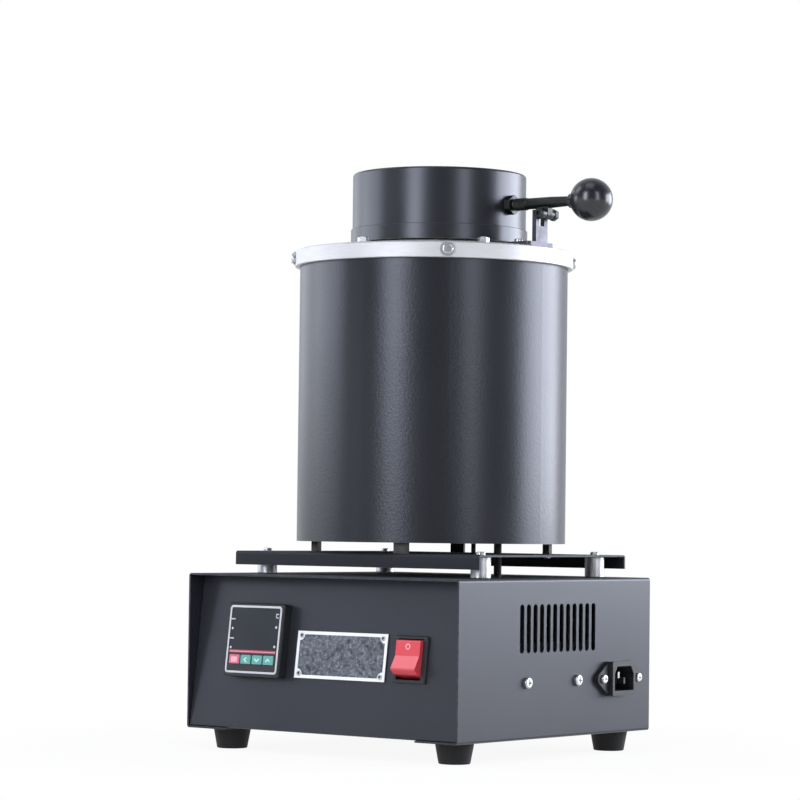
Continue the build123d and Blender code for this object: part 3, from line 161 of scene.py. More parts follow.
# ---------------------------------------------------------------- shared effects
def make_grain():
    """Fine texture of a coat or a moulding, and the broad unevenness under it."""
    tree, given, result = new_group(
        "grain",
        [("Fine Scale", "NodeSocketFloat", 1500.0), ("Broad Scale", "NodeSocketFloat", 12.0)],
        [("Fine", "NodeSocketFloat"), ("Broad", "NodeSocketFloat")],
    )
    place = object_place(tree)
    tree.links.new(noise_node(tree, place, given.outputs["Fine Scale"]), result.inputs["Fine"])
    tree.links.new(noise_node(tree, place, given.outputs["Broad Scale"]), result.inputs["Broad"])
    return tree


def make_edge_wear():
    """A mask that is 1 along the sharp edges of a piece, broken up by noise."""
    bevel_samples = 4
    edge_gain = 9.0  # how soon the mask is full as the rounded normal leaves the true one
    patch_scale, patch_level, patch_gain = 260.0, 0.38, 4.0
    tree, given, result = new_group(
        "edge_wear",
        [("Width", "NodeSocketFloat", 0.0006), ("Amount", "NodeSocketFloat", 0.5)],
        [("Mask", "NodeSocketFloat")],
    )
    rounded = tree.nodes.new("ShaderNodeBevel")
    rounded.samples = bevel_samples
    tree.links.new(given.outputs["Width"], rounded.inputs["Radius"])
    shape = tree.nodes.new("ShaderNodeNewGeometry")
    alike = tree.nodes.new("ShaderNodeVectorMath")
    alike.operation = "DOT_PRODUCT"
    tree.links.new(rounded.outputs["Normal"], alike.inputs[0])
    tree.links.new(shape.outputs["Normal"], alike.inputs[1])
    edge = math_node(tree, "SUBTRACT", 1.0, alike.outputs["Value"])
    edge = math_node(tree, "MULTIPLY", edge, edge_gain, clamp=True)
    patches = above(tree, noise_node(tree, object_place(tree), patch_scale), patch_level, patch_gain)
    worn = math_node(tree, "MULTIPLY", edge, patches)
    worn = math_node(tree, "MULTIPLY", worn, given.outputs["Amount"], clamp=True)
    tree.links.new(worn, result.inputs["Mask"])
    return tree


def make_dust():
    """A mask for the thin dust on upward faces, and one for the upward faces themselves."""
    up_level, up_gain = 0.4, 1.6  # a face counts as upward from this height of its normal
    patch_scale, patch_detail = 60.0, 6.0
    tree, given, result = new_group(
        "dust",
        [("Amount", "NodeSocketFloat", 0.1)],
        [("Mask", "NodeSocketFloat"), ("Up", "NodeSocketFloat")],
    )
    shape = tree.nodes.new("ShaderNodeNewGeometry")
    parts = tree.nodes.new("ShaderNodeSeparateXYZ")
    tree.links.new(shape.outputs["Normal"], parts.inputs[0])
    up = above(tree, parts.outputs["Z"], up_level, up_gain)
    patches = noise_node(tree, object_place(tree), patch_scale, detail=patch_detail)
    amount = math_node(tree, "MULTIPLY", up, patches)
    amount = math_node(tree, "MULTIPLY", amount, given.outputs["Amount"], clamp=True)
    tree.links.new(amount, result.inputs["Mask"])
    tree.links.new(up, result.inputs["Up"])
    return tree


def make_turned():
    """Fine lines round an upright axis, as a lathe or a belt leaves on a ring."""
    metres_per_radian = 0.004  # small, so that a line runs far round before it changes
    line_detail = 2.0
    tree, given, result = new_group(
        "turned",
        [("Centre", "NodeSocketVector", (0.0, 0.0, 0.0)), ("Scale", "NodeSocketFloat", 900.0)],
        [("Line", "NodeSocketFloat")],
    )
    offset = tree.nodes.new("ShaderNodeVectorMath")
    offset.operation = "SUBTRACT"
    tree.links.new(object_place(tree), offset.inputs[0])
    tree.links.new(given.outputs["Centre"], offset.inputs[1])
    parts = tree.nodes.new("ShaderNodeSeparateXYZ")
    tree.links.new(offset.outputs["Vector"], parts.inputs[0])
    angle = math_node(tree, "ARCTAN2", parts.outputs["Y"], parts.outputs["X"])
    angle = math_node(tree, "MULTIPLY", angle, metres_per_radian)
    x_squared = math_node(tree, "MULTIPLY", parts.outputs["X"], parts.outputs["X"])
    y_squared = math_node(tree, "MULTIPLY", parts.outputs["Y"], parts.outputs["Y"])
    radius = math_node(tree, "SQRT", math_node(tree, "ADD", x_squared, y_squared))
    unrolled = tree.nodes.new("ShaderNodeCombineXYZ")
    tree.links.new(angle, unrolled.inputs["X"])
    tree.links.new(radius, unrolled.inputs["Y"])
    tree.links.new(parts.outputs["Z"], unrolled.inputs["Z"])
    line = noise_node(tree, unrolled.outputs["Vector"], given.outputs["Scale"], detail=line_detail)
    tree.links.new(line, result.inputs["Line"])
    return tree


effects = {
    "grain": make_grain(),
    "edge_wear": make_edge_wear(),
    "dust": make_dust(),
    "turned": make_turned(),
}


# ---------------------------------------------------------------- finishes
MIX_MASK, MIX_UNDER, MIX_OVER, MIX_RESULT = 0, 6, 7, 2  # the colour sockets of a Mix node

dust_color = (0.34, 0.33, 0.31)
dust_roughness = 0.42  # what dust adds to the roughness of an upward face
bare_steel = (0.42, 0.43, 0.45)
rubbed_bright = (0.9, 0.9, 0.92)
coat_shine = (0.84, 0.88, 1.0, 1.0)  # the slightly blue tint of a coat's reflections

finishes = {}  # each finished material under its name in this file


class Finish:
    """One material: a Principled BSDF whose colour, roughness and bump are built up in steps."""

    def __init__(self, name, color, roughness, metallic=0.0):
        self.name = name
        self.material = bpy.data.materials.new(name)
        self.material.use_nodes = True
        self.tree = self.material.node_tree
        self.shader = self.tree.nodes["Principled BSDF"]
        self.shader.inputs["Metallic"].default_value = metallic
        self.color = (*color, 1.0)
        self.roughness = roughness
        self.normal = None

    def set(self, socket, value):
        """A number or colour that is the same all over the surface."""
        self.shader.inputs[socket].default_value = value

    def effect(self, name, **values):
        """One of the shared effects, with this material's values. Returns its outputs."""
        node = self.tree.nodes.new("ShaderNodeGroup")
        node.node_tree = effects[name]
        for label, value in values.items():
            node.inputs[label.replace("_", " ")].default_value = value
        return node.outputs

    def mix(self, mask, color):
        """Lays another colour over the present one where the mask is 1."""
        node = self.tree.nodes.new("ShaderNodeMix")
        node.data_type = "RGBA"
        self.tree.links.new(mask, node.inputs[MIX_MASK])
        if isinstance(self.color, tuple):
            node.inputs[MIX_UNDER].default_value = self.color
        else:
            self.tree.links.new(self.color, node.inputs[MIX_UNDER])
        node.inputs[MIX_OVER].default_value = (*color, 1.0)
        self.color = node.outputs[MIX_RESULT]

    def vary(self, mask, color, rough):
        """Mixes towards a colour by a mask round 0.5, and changes the roughness with it."""
        self.mix(mask, color)
        offset = math_node(self.tree, "SUBTRACT", mask, 0.5)
        offset = math_node(self.tree, "MULTIPLY", offset, rough)
        self.roughness = math_node(self.tree, "ADD", offset, self.roughness, clamp=True)

    def bump(self, height, depth):
        """Raises the surface by a height map of the given depth in metres."""
        node = self.tree.nodes.new("ShaderNodeBump")
        node.inputs["Distance"].default_value = depth
        self.tree.links.new(height, node.inputs["Height"])
        self.normal = node.outputs["Normal"]

    def worn(self, width, amount, color):
        """Edges rubbed through to another colour."""
        self.mix(self.effect("edge_wear", Width=width, Amount=amount)["Mask"], color)

    def dusty(self, amount):
        """A little dust on upward faces, which also makes them duller."""
        dust = self.effect("dust", Amount=amount)
        duller = math_node(self.tree, "MULTIPLY", dust["Up"], dust_roughness)
        self.roughness = math_node(self.tree, "ADD", duller, self.roughness, clamp=True)
        self.mix(dust["Mask"], dust_color)

    def done(self):
        """Joins the steps to the shader and puts the material among the finishes."""
        self.tree.links.new(self.color, self.shader.inputs["Base Color"])
        self.tree.links.new(self.roughness, self.shader.inputs["Roughness"])
        self.tree.links.new(self.normal, self.shader.inputs["Normal"])
        finishes[self.name] = self.material


def powder_coat(
    name, color, lighter, roughness, peel=0.03 * MM, peel_scale=1400.0, wear=0.25, gloss=0.5
):
    """Powder coat on steel: fine orange peel, slow changes of tone and slightly rubbed edges."""
    tone_scale, rough_change = 9.0, 0.14
    edge_width, dust_amount = 0.5 * MM, 0.06
    finish = Finish(name, color, roughness)
    finish.set("Specular IOR Level", gloss)
    finish.set("Specular Tint", coat_shine)
    grain = finish.effect("grain", Fine_Scale=peel_scale, Broad_Scale=tone_scale)
    finish.vary(grain["Broad"], lighter, rough_change)
    finish.bump(grain["Fine"], peel)
    finish.worn(edge_width, wear, bare_steel)
    finish.dusty(dust_amount)
    finish.done()


def metal(name, color, darker, roughness, wear=0.3):
    """Bare or plated metal with a faint unevenness."""
    pit_scale, pit_depth = 2600.0, 0.01 * MM
    tone_scale, rough_change = 180.0, 0.25
    edge_width = 0.3 * MM
    finish = Finish(name, color, roughness, metallic=1.0)
    grain = finish.effect("grain", Fine_Scale=pit_scale, Broad_Scale=tone_scale)
    finish.vary(grain["Broad"], darker, rough_change)
    finish.bump(grain["Fine"], pit_depth)
    finish.worn(edge_width, wear, rubbed_bright)
    finish.done()


def ring_steel():
    """Bright steel ring, brushed round its axis."""
    steel = (0.63, 0.63, 0.65)
    between_lines = (0.55, 0.555, 0.575)
    roughness, rough_change = 0.60, 0.16
    line_scale, line_depth = 2400.0, 0.003 * MM
    edge_width, wear, rubbed_edge = 0.4 * MM, 0.3, (0.9, 0.9, 0.91)
    finish = Finish("ring_steel", steel, roughness, metallic=1.0)
    axis_place = tuple(middle("furnace_shell"))
    line = finish.effect("turned", Centre=axis_place, Scale=line_scale)["Line"]
    finish.vary(line, between_lines, rough_change)
    finish.bump(line, line_depth)
    finish.worn(edge_width, wear, rubbed_edge)
    finish.done()


def plate_field():
    """Printed metal plate with a dark mottled field."""
    field, field_lighter = (0.050, 0.057, 0.072), (0.13, 0.145, 0.17)
    roughness, rough_change, metal_share = 0.40, 0.2, 0.3
    grain_scale, tone_scale, grain_depth = 900.0, 240.0, 0.03 * MM
    pale, pale_scale, pale_level, pale_gain = (0.21, 0.23, 0.26), 560.0, 0.47, 4.5
    dark, dark_scale, dark_level, dark_gain = (0.030, 0.034, 0.045), 260.0, 0.50, 6.0
    finish = Finish("plate_metal", field, roughness, metallic=metal_share)
    grain = finish.effect("grain", Fine_Scale=grain_scale, Broad_Scale=tone_scale)
    finish.vary(grain["Broad"], field_lighter, rough_change)
    patches = finish.effect("grain", Fine_Scale=pale_scale, Broad_Scale=dark_scale)
    finish.mix(above(finish.tree, patches["Fine"], pale_level, pale_gain), pale)
    finish.mix(above(finish.tree, patches["Broad"], dark_level, dark_gain), dark)
    finish.bump(grain["Fine"], grain_depth)
    finish.done()


def plastic(name, color, lighter, roughness, grain_depth=0.01 * MM, gloss=0.5):
    """Moulded plastic, rubber or print, with a fine grain and edges rubbed a little lighter."""
    grain_scale, tone_scale, rough_change = 2200.0, 40.0, 0.1
    edge_width, wear = 0.3 * MM, 0.2
    finish = Finish(name, color, roughness)
    finish.set("Specular IOR Level", gloss)
    grain = finish.effect("grain", Fine_Scale=grain_scale, Broad_Scale=tone_scale)
    finish.vary(grain["Broad"], lighter, rough_change)
    finish.bump(grain["Fine"], grain_depth)
    finish.worn(edge_width, wear, lighter)
    finish.done()


def mineral(name, color, darker, roughness, grain_scale, grain_depth):
    """Fibre, fired brick, graphite or a woven sleeve: a coarse grain with blotches of tone."""
    grains_per_blotch, rough_change = 9, 0.1
    finish = Finish(name, color, roughness)
    grain = finish.effect(
        "grain", Fine_Scale=grain_scale, Broad_Scale=grain_scale / grains_per_blotch
    )
    finish.vary(grain["Broad"], darker, rough_change)
    finish.mix(grain["Fine"], darker)
    finish.bump(grain["Fine"], grain_depth)
    finish.done()


# What stands for a finish: its name, its colour, the colour that it varies towards, its roughness, and
# what else sets it apart from others of its kind.
powder_coat("black_coat", (0.014, 0.015, 0.019), (0.020, 0.021, 0.026), 0.36)
powder_coat("tray_coat", (0.008, 0.009, 0.012), (0.012, 0.013, 0.017), 0.46, gloss=0.33)
powder_coat(
    "shell_coat", (0.0055, 0.006, 0.0085), (0.009, 0.0095, 0.012), 0.32,
    peel=0.08 * MM, peel_scale=620.0, gloss=0.53,
)
powder_coat(
    "lid_coat", (0.009, 0.0095, 0.012), (0.014, 0.015, 0.018), 0.31,
    peel=0.02 * MM, wear=0.06, gloss=0.58,
)

ring_steel()
metal("plain_steel", (0.40, 0.41, 0.43), (0.30, 0.31, 0.33), 0.34)
metal("bracket_steel", (0.085, 0.085, 0.098), (0.060, 0.060, 0.070), 0.42, wear=0.1)
# Dark steel also paints the shade in the dimples of the nameplate's rivets.
metal("dark_steel", (0.052, 0.055, 0.053), (0.035, 0.037, 0.036), 0.44, wear=0.05)
metal("screw_steel", (0.60, 0.61, 0.63), (0.44, 0.45, 0.47), 0.34)
metal("aluminium", (0.64, 0.65, 0.67), (0.52, 0.53, 0.56), 0.42)
metal("black_anodised", (0.006, 0.006, 0.007), (0.004, 0.004, 0.005), 0.60, wear=0.02)
metal("brass", (0.72, 0.53, 0.22), (0.55, 0.38, 0.14), 0.30)
metal("pin_metal", (0.42, 0.42, 0.42), (0.32, 0.32, 0.32), 0.30)
metal("element_wire", (0.28, 0.26, 0.25), (0.17, 0.15, 0.15), 0.55)
plate_field()

plastic(
    "rubber", (0.007, 0.007, 0.009), (0.012, 0.012, 0.014), 0.60,
    grain_depth=0.03 * MM, gloss=0.25,
)
plastic(
    "knob_plastic", (0.011, 0.012, 0.016), (0.015, 0.016, 0.021), 0.25,
    grain_depth=0.002 * MM, gloss=0.6,
)
plastic("black_plastic", (0.012, 0.013, 0.016), (0.019, 0.020, 0.024), 0.38, gloss=0.42)
plastic(
    "window_plastic", (0.024, 0.027, 0.033), (0.028, 0.031, 0.038), 0.22,
    grain_depth=0.001 * MM, gloss=0.3,
)
plastic("circuit_board", (0.020, 0.095, 0.045), (0.03, 0.13, 0.06), 0.40)
plastic("red_key", (0.56, 0.12, 0.18), (0.62, 0.17, 0.23), 0.42)
plastic("green_key", (0.085, 0.32, 0.28), (0.12, 0.38, 0.34), 0.42)
plastic(
    "red_plastic", (0.62, 0.040, 0.055), (0.68, 0.07, 0.09), 0.24,
    grain_depth=0.004 * MM, gloss=0.7,
)

plastic("silver_paint", (0.50, 0.51, 0.53), (0.57, 0.58, 0.60), 0.34)
plastic("white_print", (0.86, 0.86, 0.86), (0.80, 0.80, 0.80), 0.40)
plastic("red_print", (0.42, 0.07, 0.12), (0.36, 0.05, 0.09), 0.45)
plastic("pale_print", (0.56, 0.78, 0.74), (0.50, 0.72, 0.68), 0.45)
# Rose print also paints the highlight along the middle of the controller's red line.
plastic("rose_print", (0.84, 0.42, 0.48), (0.80, 0.37, 0.43), 0.45)

# The last two values of these are the scale and the depth of the grain.
mineral("ceramic_fibre", (0.74, 0.73, 0.70), (0.62, 0.61, 0.58), 0.90, 900.0, 0.3 * MM)
mineral("refractory", (0.66, 0.64, 0.60), (0.54, 0.52, 0.48), 0.85, 700.0, 0.2 * MM)
mineral("graphite", (0.055, 0.056, 0.060), (0.035, 0.036, 0.038), 0.45, 1100.0, 0.05 * MM)
mineral("lead_sleeve", (0.035, 0.036, 0.038), (0.02, 0.02, 0.022), 0.60, 1500.0, 0.1 * MM)

for part in frame["record"]["subparts"]:
    node = frame["nodes"][part["node"]]
    node.data.materials.clear()
    node.data.materials.append(finishes[part["material_slot"]])


# ---------------------------------------------------------------- outlines and solids
def piece_from(name, mesh_data, place, finish, body):
    """Turns a bmesh into a piece that stands at a place and rides a body."""
    mesh = bpy.data.meshes.new(name)
    bmesh.ops.recalc_face_normals(mesh_data, faces=mesh_data.faces)
    mesh_data.to_mesh(mesh)
    mesh_data.free()
    mesh.materials.append(finishes[finish])
    piece = add_to_scene(bpy.data.objects.new(name, mesh))
    piece.matrix_world = place
    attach(piece, body)


def prism(mesh_data, outline, low, high):
    """Adds a flat shape of some thickness: an outline in x and y, from low to high in z."""
    bottom = [mesh_data.verts.new((x, y, low)) for x, y in outline]
    top = [mesh_data.verts.new((x, y, high)) for x, y in outline]
    mesh_data.faces.new(bottom[::-1])
    mesh_data.faces.new(top)
    for index in range(len(outline)):
        after = (index + 1) % len(outline)
        mesh_data.faces.new((bottom[index], bottom[after], top[after], top[index]))


def add_ring(mesh_data, outer, inner, rise, steps=36):
    """Adds a flat ring of some thickness round the origin."""
    turns = [math.tau * step / steps for step in range(steps)]
    rows = []
    for radius, height in ((outer, 0), (outer, rise), (inner, rise), (inner, 0)):
        places = [(radius * math.cos(turn), radius * math.sin(turn), height) for turn in turns]
        rows.append([mesh_data.verts.new(place) for place in places])
    for index, row in enumerate(rows):
        next_row = rows[(index + 1) % len(rows)]
        for step in range(steps):
            after = (step + 1) % steps
            mesh_data.faces.new((row[step], row[after], next_row[after], next_row[step]))


def arc(x, y, radius, first, last, steps=10):
    """Points round part of a circle, angles in degrees."""
    turns = [math.radians(first + (last - first) * step / steps) for step in range(steps + 1)]
    return [(x + radius * math.cos(turn), y + radius * math.sin(turn)) for turn in turns]


def disc(x, y, radius):
    """Points round a small circle; the outline closes itself over the last few degrees."""
    return arc(x, y, radius, 0, 345, steps=15)


def bar(x, y, width, height):
    """The corners of an upright rectangle round a point."""
    return [
        (x - width / 2, y - height / 2),
        (x + width / 2, y - height / 2),
        (x + width / 2, y + height / 2),
        (x - width / 2, y + height / 2),
    ]


def stroke(points, width):
    """The outline of a line of straight runs with mitred corners."""
    sharpest = 0.4  # the least cosine that a mitre is made for, so that no corner runs far out
    left, right = [], []
    for index, point in enumerate(points):
        before = Vector(points[max(index - 1, 0)])
        after = Vector(points[min(index + 1, len(points) - 1)])
        here = Vector(point)
        into = (here - before).normalized() if index else (after - here).normalized()
        onward = (after - here).normalized() if index < len(points) - 1 else into
        middle_way = (into + onward).normalized()
        side = Vector((-middle_way.y, middle_way.x))
        reach = width / 2 / max(side.dot(Vector((-into.y, into.x))), sharpest)
        left.append(tuple(here + side * reach))
        right.append(tuple(here - side * reach))
    return left + right[::-1]


def in_mm(points, x=0.0, y=0.0):
    """Points written in millimetres as points in metres, moved by x and y metres."""
    return [(x + across * MM, y + up * MM) for across, up in points]


# ---------------------------------------------------------------- printed marks on the panel
print_rise = 0.12 * MM
frame_line_rise = 0.25 * MM  # the silver line round the window stands this far out of the bezel
bezel_face = face_plane("controller_frame_line") @ Matrix.Translation((0, 0, -frame_line_rise))


def controller_marks():
    """Plain dashes, dots and a hook beside the window, where the indicators and units are."""
    left, right = -19.0 * MM, 18.4 * MM
    dash_width, dash_height, dashes_at = 3.6 * MM, 0.8 * MM, (13.1 * MM, 0.5 * MM)
    left_dot, left_dots_at = 0.8 * MM, (6.9 * MM, -5.5 * MM)
    right_dot, right_dots_at = 0.85 * MM, (8.4 * MM, -4.2 * MM)
    hook = [(1.4, 1.3), (-0.6, 1.3), (-0.6, -0.9), (1.4, -1.2)]  # in millimetres
    hook_at, hook_line = 15.7 * MM, 0.6 * MM
    marks = bmesh.new()
    for height in dashes_at:
        prism(marks, bar(left, height, dash_width, dash_height), 0, print_rise)
    for height in left_dots_at:
        prism(marks, disc(left, height, left_dot), 0, print_rise)
    for height in right_dots_at:
        prism(marks, disc(right, height, right_dot), 0, print_rise)
    prism(marks, stroke(in_mm(hook, right, hook_at), hook_line), 0, print_rise)
    piece_from("controller_marks", marks, bezel_face, "silver_paint", "base")


def red_line():
    """The red line that parts the window from the keys, with a painted highlight along its middle: a pale rose
    line.
    """
    line_at, line_length, line_height = -7.9 * MM, 39.4 * MM, 1.9 * MM
    highlight_at, highlight_length, highlight_height = -8.0 * MM, 39.0 * MM, 0.4 * MM
    line = bmesh.new()
    prism(line, bar(0, line_at, line_length, line_height), 0, print_rise)
    piece_from("controller_red_line", line, bezel_face, "red_print", "base")
    # painted highlight: a pale rose line along the middle of the red line, in the rose print finish
    highlight = bmesh.new()
    prism(highlight, bar(0, highlight_at, highlight_length, highlight_height), print_rise, 2 * print_rise)
    piece_from("controller_red_line_highlight", highlight, bezel_face, "rose_print", "base")


key_arrows = {  # the corners of each arrow, in millimetres
    "key_shift": [(1.0, 1.5), (-1.0, 0.0), (1.0, -1.5)],
    "key_down": [(-1.8, 0.9), (0.0, -0.9), (1.8, 0.9)],
    "key_up": [(-1.8, -0.9), (0.0, 0.9), (1.8, -0.9)],
}


def key_marks():
    """A pale arrow on each green key and a pale square on the red one; each rides its own key."""
    arrow_line = 0.8 * MM
    square_width, square_height = 5.0 * MM, 3.4 * MM
    for key, corners in key_arrows.items():
        arrow = bmesh.new()
        prism(arrow, stroke(in_mm(corners), arrow_line), 0, print_rise)
        piece_from(key + "_arrow", arrow, face_plane(key), "pale_print", key)
    square = bmesh.new()
    prism(square, bar(0, 0, square_width, square_height), 0, print_rise)
    piece_from("key_set_square", square, face_plane("key_set"), "rose_print", "key_set")


plate_low, plate_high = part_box("nameplate")
plate_half_width = (plate_high.x - plate_low.x) / 2
plate_half_height = (plate_high.z - plate_low.z) / 2 / panel_up.z


def nameplate_border():
    """White printed border with a quarter disc in each corner, round the rivets."""
    border_width, corner_radius = 2.1 * MM, 5.0 * MM
    field_half_width = plate_half_width - border_width
    field_half_height = plate_half_height - border_width
    border = bmesh.new()
    for side in (-1, 1):
        x = side * (plate_half_width - border_width / 2)
        prism(border, bar(x, 0, border_width, 2 * plate_half_height), 0, print_rise)
        y = side * (plate_half_height - border_width / 2)
        prism(border, bar(0, y, 2 * field_half_width, border_width), 0, print_rise)
    for quarter, (side_x, side_y) in enumerate(((1, 1), (-1, 1), (-1, -1), (1, -1))):
        corner = (side_x * field_half_width, side_y * field_half_height)
        first = 180 + 90 * quarter
        curve = arc(*corner, corner_radius - border_width / 2, first, first + 90)
        prism(border, [corner] + curve, 0, print_rise)
    place = face_plane("nameplate")
    piece_from("nameplate_border", border, place, "white_print", "base")


def rivet_dimple_shade():
    """Painted shade: a dark disc in the head of each of the nameplate's rivets, for the shade in its dimple."""
    shade_radius, head_radius = 0.8 * MM, 1.7 * MM
    rivet_inset = 2.95 * MM  # from the plate's upper and lower edges to the rivets
    low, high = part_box("nameplate_rivets")
    across = (high.x - low.x) / 2 - head_radius
    upward = plate_half_height - rivet_inset
    shade_discs = bmesh.new()
    for side in (-1, 1):
        for end in (-1, 1):
            # each dark disc is painted shade, where the rivet's dimple lies in shade
            prism(shade_discs, disc(side * across, end * upward, shade_radius), 0, print_rise)
    place = face_plane("nameplate_rivets")
    piece_from("rivet_dimple_shade", shade_discs, place, "dark_steel", "base")


# ---------------------------------------------------------------- rocker and lever
def rocker_mark():
    """A pale ring on the half of the rocker that lies level with the panel: the sign for off."""
    ring_outer, ring_inner = 1.9 * MM, 1.25 * MM
    ring_inset = 3.0 * MM  # from the upper end of the level half to the ring's middle
    level_from = 0.999  # the least cosine between a level face's normal and the way out of the panel
    rocker = frame["nodes"]["switch_rocker"].data
    level = [face for face in rocker.polygons if face.normal.dot(panel_out) > level_from]
    widest = max(level, key=lambda face: face.area)
    corners = [rocker.vertices[index].co for face in level for index in face.vertices]
    upper_end = max(corner.dot(panel_up) for corner in corners)
    centre = moved_to(middle("switch_rocker"), panel_up, upper_end - ring_inset)
    centre = moved_to(centre, panel_out, widest.center.dot(panel_out))
    ring = bmesh.new()
    add_ring(ring, ring_outer, ring_inner, print_rise)
    place = Matrix.Translation(centre) @ panel_turn
    piece_from("rocker_ring", ring, place, "rose_print", "switch_rocker")


def rod_thread():
    """The coarse thread on the lever next to its lock nut: one ridge wound along the rod."""
    length, pitch = 11.0 * MM, 1.4 * MM
    root, crest, buried = 3.65 * MM, 4.2 * MM, 0.4 * MM
    flank = 0.45  # from crest to root along the rod, as a share of the pitch
    nut_gap = 0.2 * MM
    steps = 24
    count = int(length / pitch * steps)
    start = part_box("lever_nuts")[1].x + nut_gap
    thread = bmesh.new()
    rows = []
    for step in range(count + 1):
        turn = math.tau * step / steps
        along = start + pitch * step / steps
        fade = min(1.0, step / steps, (count - step) / steps)
        height = root + (crest - root) * fade
        section = ((-flank, root), (0.0, height), (flank, root), (0.0, root - buried))
        places = [
            (along + shift * pitch, radius * math.cos(turn), radius * math.sin(turn))
            for shift, radius in section
        ]
        rows.append([thread.verts.new(place) for place in places])
    for row, next_row in zip(rows, rows[1:]):
        for index in range(len(row)):
            beside = (index + 1) % len(row)
            thread.faces.new((row[index], row[beside], next_row[beside], next_row[index]))
    thread.faces.new(rows[0])
    thread.faces.new(rows[-1][::-1])
    place = Matrix.Translation((0, middle("lid_band").y, middle("ball_knob").z))
    piece_from("lever_thread", thread, place, "dark_steel", "lid")


controller_marks()
red_line()
key_marks()
nameplate_border()
rivet_dimple_shade()
rocker_mark()
rod_thread()


# ---------------------------------------------------------------- floor and room
plain_white = (1.0, 1.0, 1.0, 1.0)


def join_shaders(tree, amount, first, second):
    """A Mix Shader node: the first shader where the amount is 0, the second where it is 1."""
    blend = tree.nodes.new("ShaderNodeMixShader")
    for socket, source in zip(blend.inputs, (amount, first, second)):
        tree.links.new(source, socket)
    return blend.outputs[0]


def floor_shader(tree):
    """Plain white to the camera and in reflections, but for a small matt share near the object that
    shows its shadow; matt to all other light."""
    floor_color = (0.86, 0.86, 0.86, 1.0)
    shadow_radius, shadow_fade = 0.14, 0.26  # the shadow is whole to the radius, then fades
    white_share = 0.92  # what is plain white where the shadow is whole
    tree.nodes.clear()
    path = tree.nodes.new("ShaderNodeLightPath")
    seen = math_node(tree, "MAXIMUM", path.outputs["Is Camera Ray"], path.outputs["Is Glossy Ray"])
    seen = math_node(tree, "MAXIMUM", seen, path.outputs["Is Transmission Ray"])
    glow = tree.nodes.new("ShaderNodeEmission")
    glow.inputs["Color"].default_value = plain_white
    glow.inputs["Strength"].default_value = 1.0
    matt = tree.nodes.new("ShaderNodeBsdfDiffuse")
    matt.inputs["Color"].default_value = floor_color
    distance = tree.nodes.new("ShaderNodeVectorMath")
    distance.operation = "LENGTH"
    tree.links.new(object_place(tree), distance.inputs[0])
    away = math_node(tree, "SUBTRACT", distance.outputs["Value"], shadow_radius)
    away = math_node(tree, "DIVIDE", away, shadow_fade, clamp=True)
    share = math_node(tree, "MULTIPLY", away, 1.0 - white_share)
    share = math_node(tree, "ADD", share, white_share)
    amount = math_node(tree, "MULTIPLY", seen, share)
    result = tree.nodes.new("ShaderNodeOutputMaterial")
    surface = join_shaders(tree, amount, matt.outputs[0], glow.outputs[0])
    tree.links.new(surface, result.inputs["Surface"])


def make_floor():
    """A wide flat floor under the object, which is no part of it."""
    half_size = 12.0
    shape = bmesh.new()
    corners = [(-1, -1), (1, -1), (1, 1), (-1, 1)]
    shape.faces.new([shape.verts.new((x * half_size, y * half_size, 0)) for x, y in corners])
    mesh = bpy.data.meshes.new("floor")
    shape.to_mesh(mesh)
    shape.free()
    material = bpy.data.materials.new("floor")
    material.use_nodes = True
    floor_shader(material.node_tree)
    mesh.materials.append(material)
    add_to_scene(bpy.data.objects.new("floor", mesh))


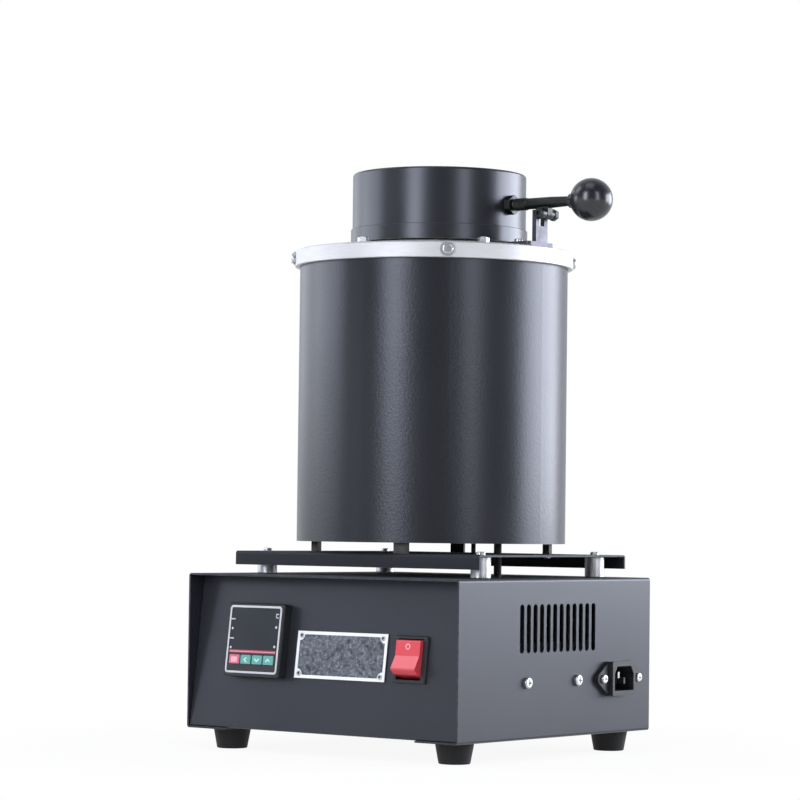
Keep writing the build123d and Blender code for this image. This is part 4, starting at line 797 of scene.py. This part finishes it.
def make_room():
    """A room that is plain white to the camera. In reflections it is white behind the object and dim
    on the camera's side, and it lights matt surfaces weakly from all round."""
    room_color = (0.88, 0.92, 1.0, 1.0)
    room_light, dim_light = 0.22, 0.04  # on matt surfaces, and in reflections of the dim side
    white_azimuth = math.radians(128)  # the middle of the white side, round from +X
    white_from, white_gain = -0.25, 1.1  # the cosine where the white begins, and how fast it grows
    world = bpy.data.worlds.new("world")
    bpy.context.scene.world = world
    world.use_nodes = True
    tree = world.node_tree
    room = tree.nodes["Background"]
    room.inputs["Color"].default_value = room_color
    white = tree.nodes.new("ShaderNodeBackground")
    white.inputs["Color"].default_value = plain_white
    path = tree.nodes.new("ShaderNodeLightPath")
    way = tree.nodes.new("ShaderNodeVectorMath")
    way.operation = "DOT_PRODUCT"
    way.inputs[1].default_value = (math.cos(white_azimuth), math.sin(white_azimuth), 0.0)
    tree.links.new(tree.nodes.new("ShaderNodeTexCoord").outputs["Generated"], way.inputs[0])
    white_side = above(tree, way.outputs["Value"], white_from, white_gain)
    shine = math_node(tree, "MULTIPLY", white_side, 1.0 - dim_light)
    shine = math_node(tree, "ADD", shine, dim_light)
    level = math_node(tree, "SUBTRACT", shine, room_light)
    level = math_node(tree, "MULTIPLY", level, path.outputs["Is Glossy Ray"])
    level = math_node(tree, "ADD", level, room_light)
    tree.links.new(level, room.inputs["Strength"])
    seen = math_node(tree, "MAXIMUM", path.outputs["Is Camera Ray"], path.outputs["Is Transmission Ray"])
    surface = join_shaders(tree, seen, room.outputs[0], white.outputs[0])
    tree.links.new(surface, tree.nodes["World Output"].inputs["Surface"])


make_floor()
make_room()


# ---------------------------------------------------------------- lamps
lamp_color = (0.88, 0.91, 1.0)


def softbox(
    name, azimuth, low, width, tall, radiance, distance=2.0, aim_height=None, color=lamp_color
):
    """An area light at a distance from the upright axis, with its middle at low + tall / 2. It faces
    the axis level, or at a given height. Azimuth is degrees round from +X; radiance is the
    brightness of its face, where white is 1."""
    light = bpy.data.lights.new(name, "AREA")
    light.shape = "RECTANGLE"
    light.size = width
    light.size_y = tall
    light.energy = radiance * math.pi * width * tall
    light.color = color
    height = low + tall / 2
    turn = math.radians(azimuth)
    lamp = add_to_scene(bpy.data.objects.new(name, light))
    lamp.location = (distance * math.cos(turn), distance * math.sin(turn), height)
    aim = Vector((0, 0, height if aim_height is None else aim_height))
    lamp.rotation_euler = facing(lamp.location, aim).to_euler()
    lamp.visible_camera = False


# Two tall strips make the narrow bright bands on the drum and the lid.
softbox("front_strip", -84.5, low=0.22, width=0.60, tall=1.5, radiance=9.9, color=(0.91, 0.93, 1.0))
softbox("right_strip", -20, low=0.22, width=0.44, tall=1.5, radiance=6.0, color=(0.93, 0.95, 1.0))
# A wide one lights the right wall and the drum's right edge.
softbox("right_rear", 53, low=0.12, width=1.8, tall=0.9, radiance=9.8)
# These light the left side of the drum, the sloping panel and the raised half of the rocker.
softbox("left_front", -154, low=0.26, width=1.3, tall=0.6, radiance=3.8)
softbox("left_low", -138, low=0.46, width=0.5, tall=0.34, radiance=1.8)
softbox("left_fill", -118, low=0.12, width=0.36, tall=0.5, radiance=1.6)
softbox("left_rear", 172, low=0.26, width=1.2, tall=1.0, radiance=1.3)
softbox("left_high", -148, low=1.1, width=0.9, tall=0.9, radiance=2.7, distance=1.5, aim_height=0.1)
# One above lights the upward faces.
softbox("overhead", -70, low=2.0, width=1.4, tall=1.4, radiance=1.7, distance=0.7, aim_height=0.2)
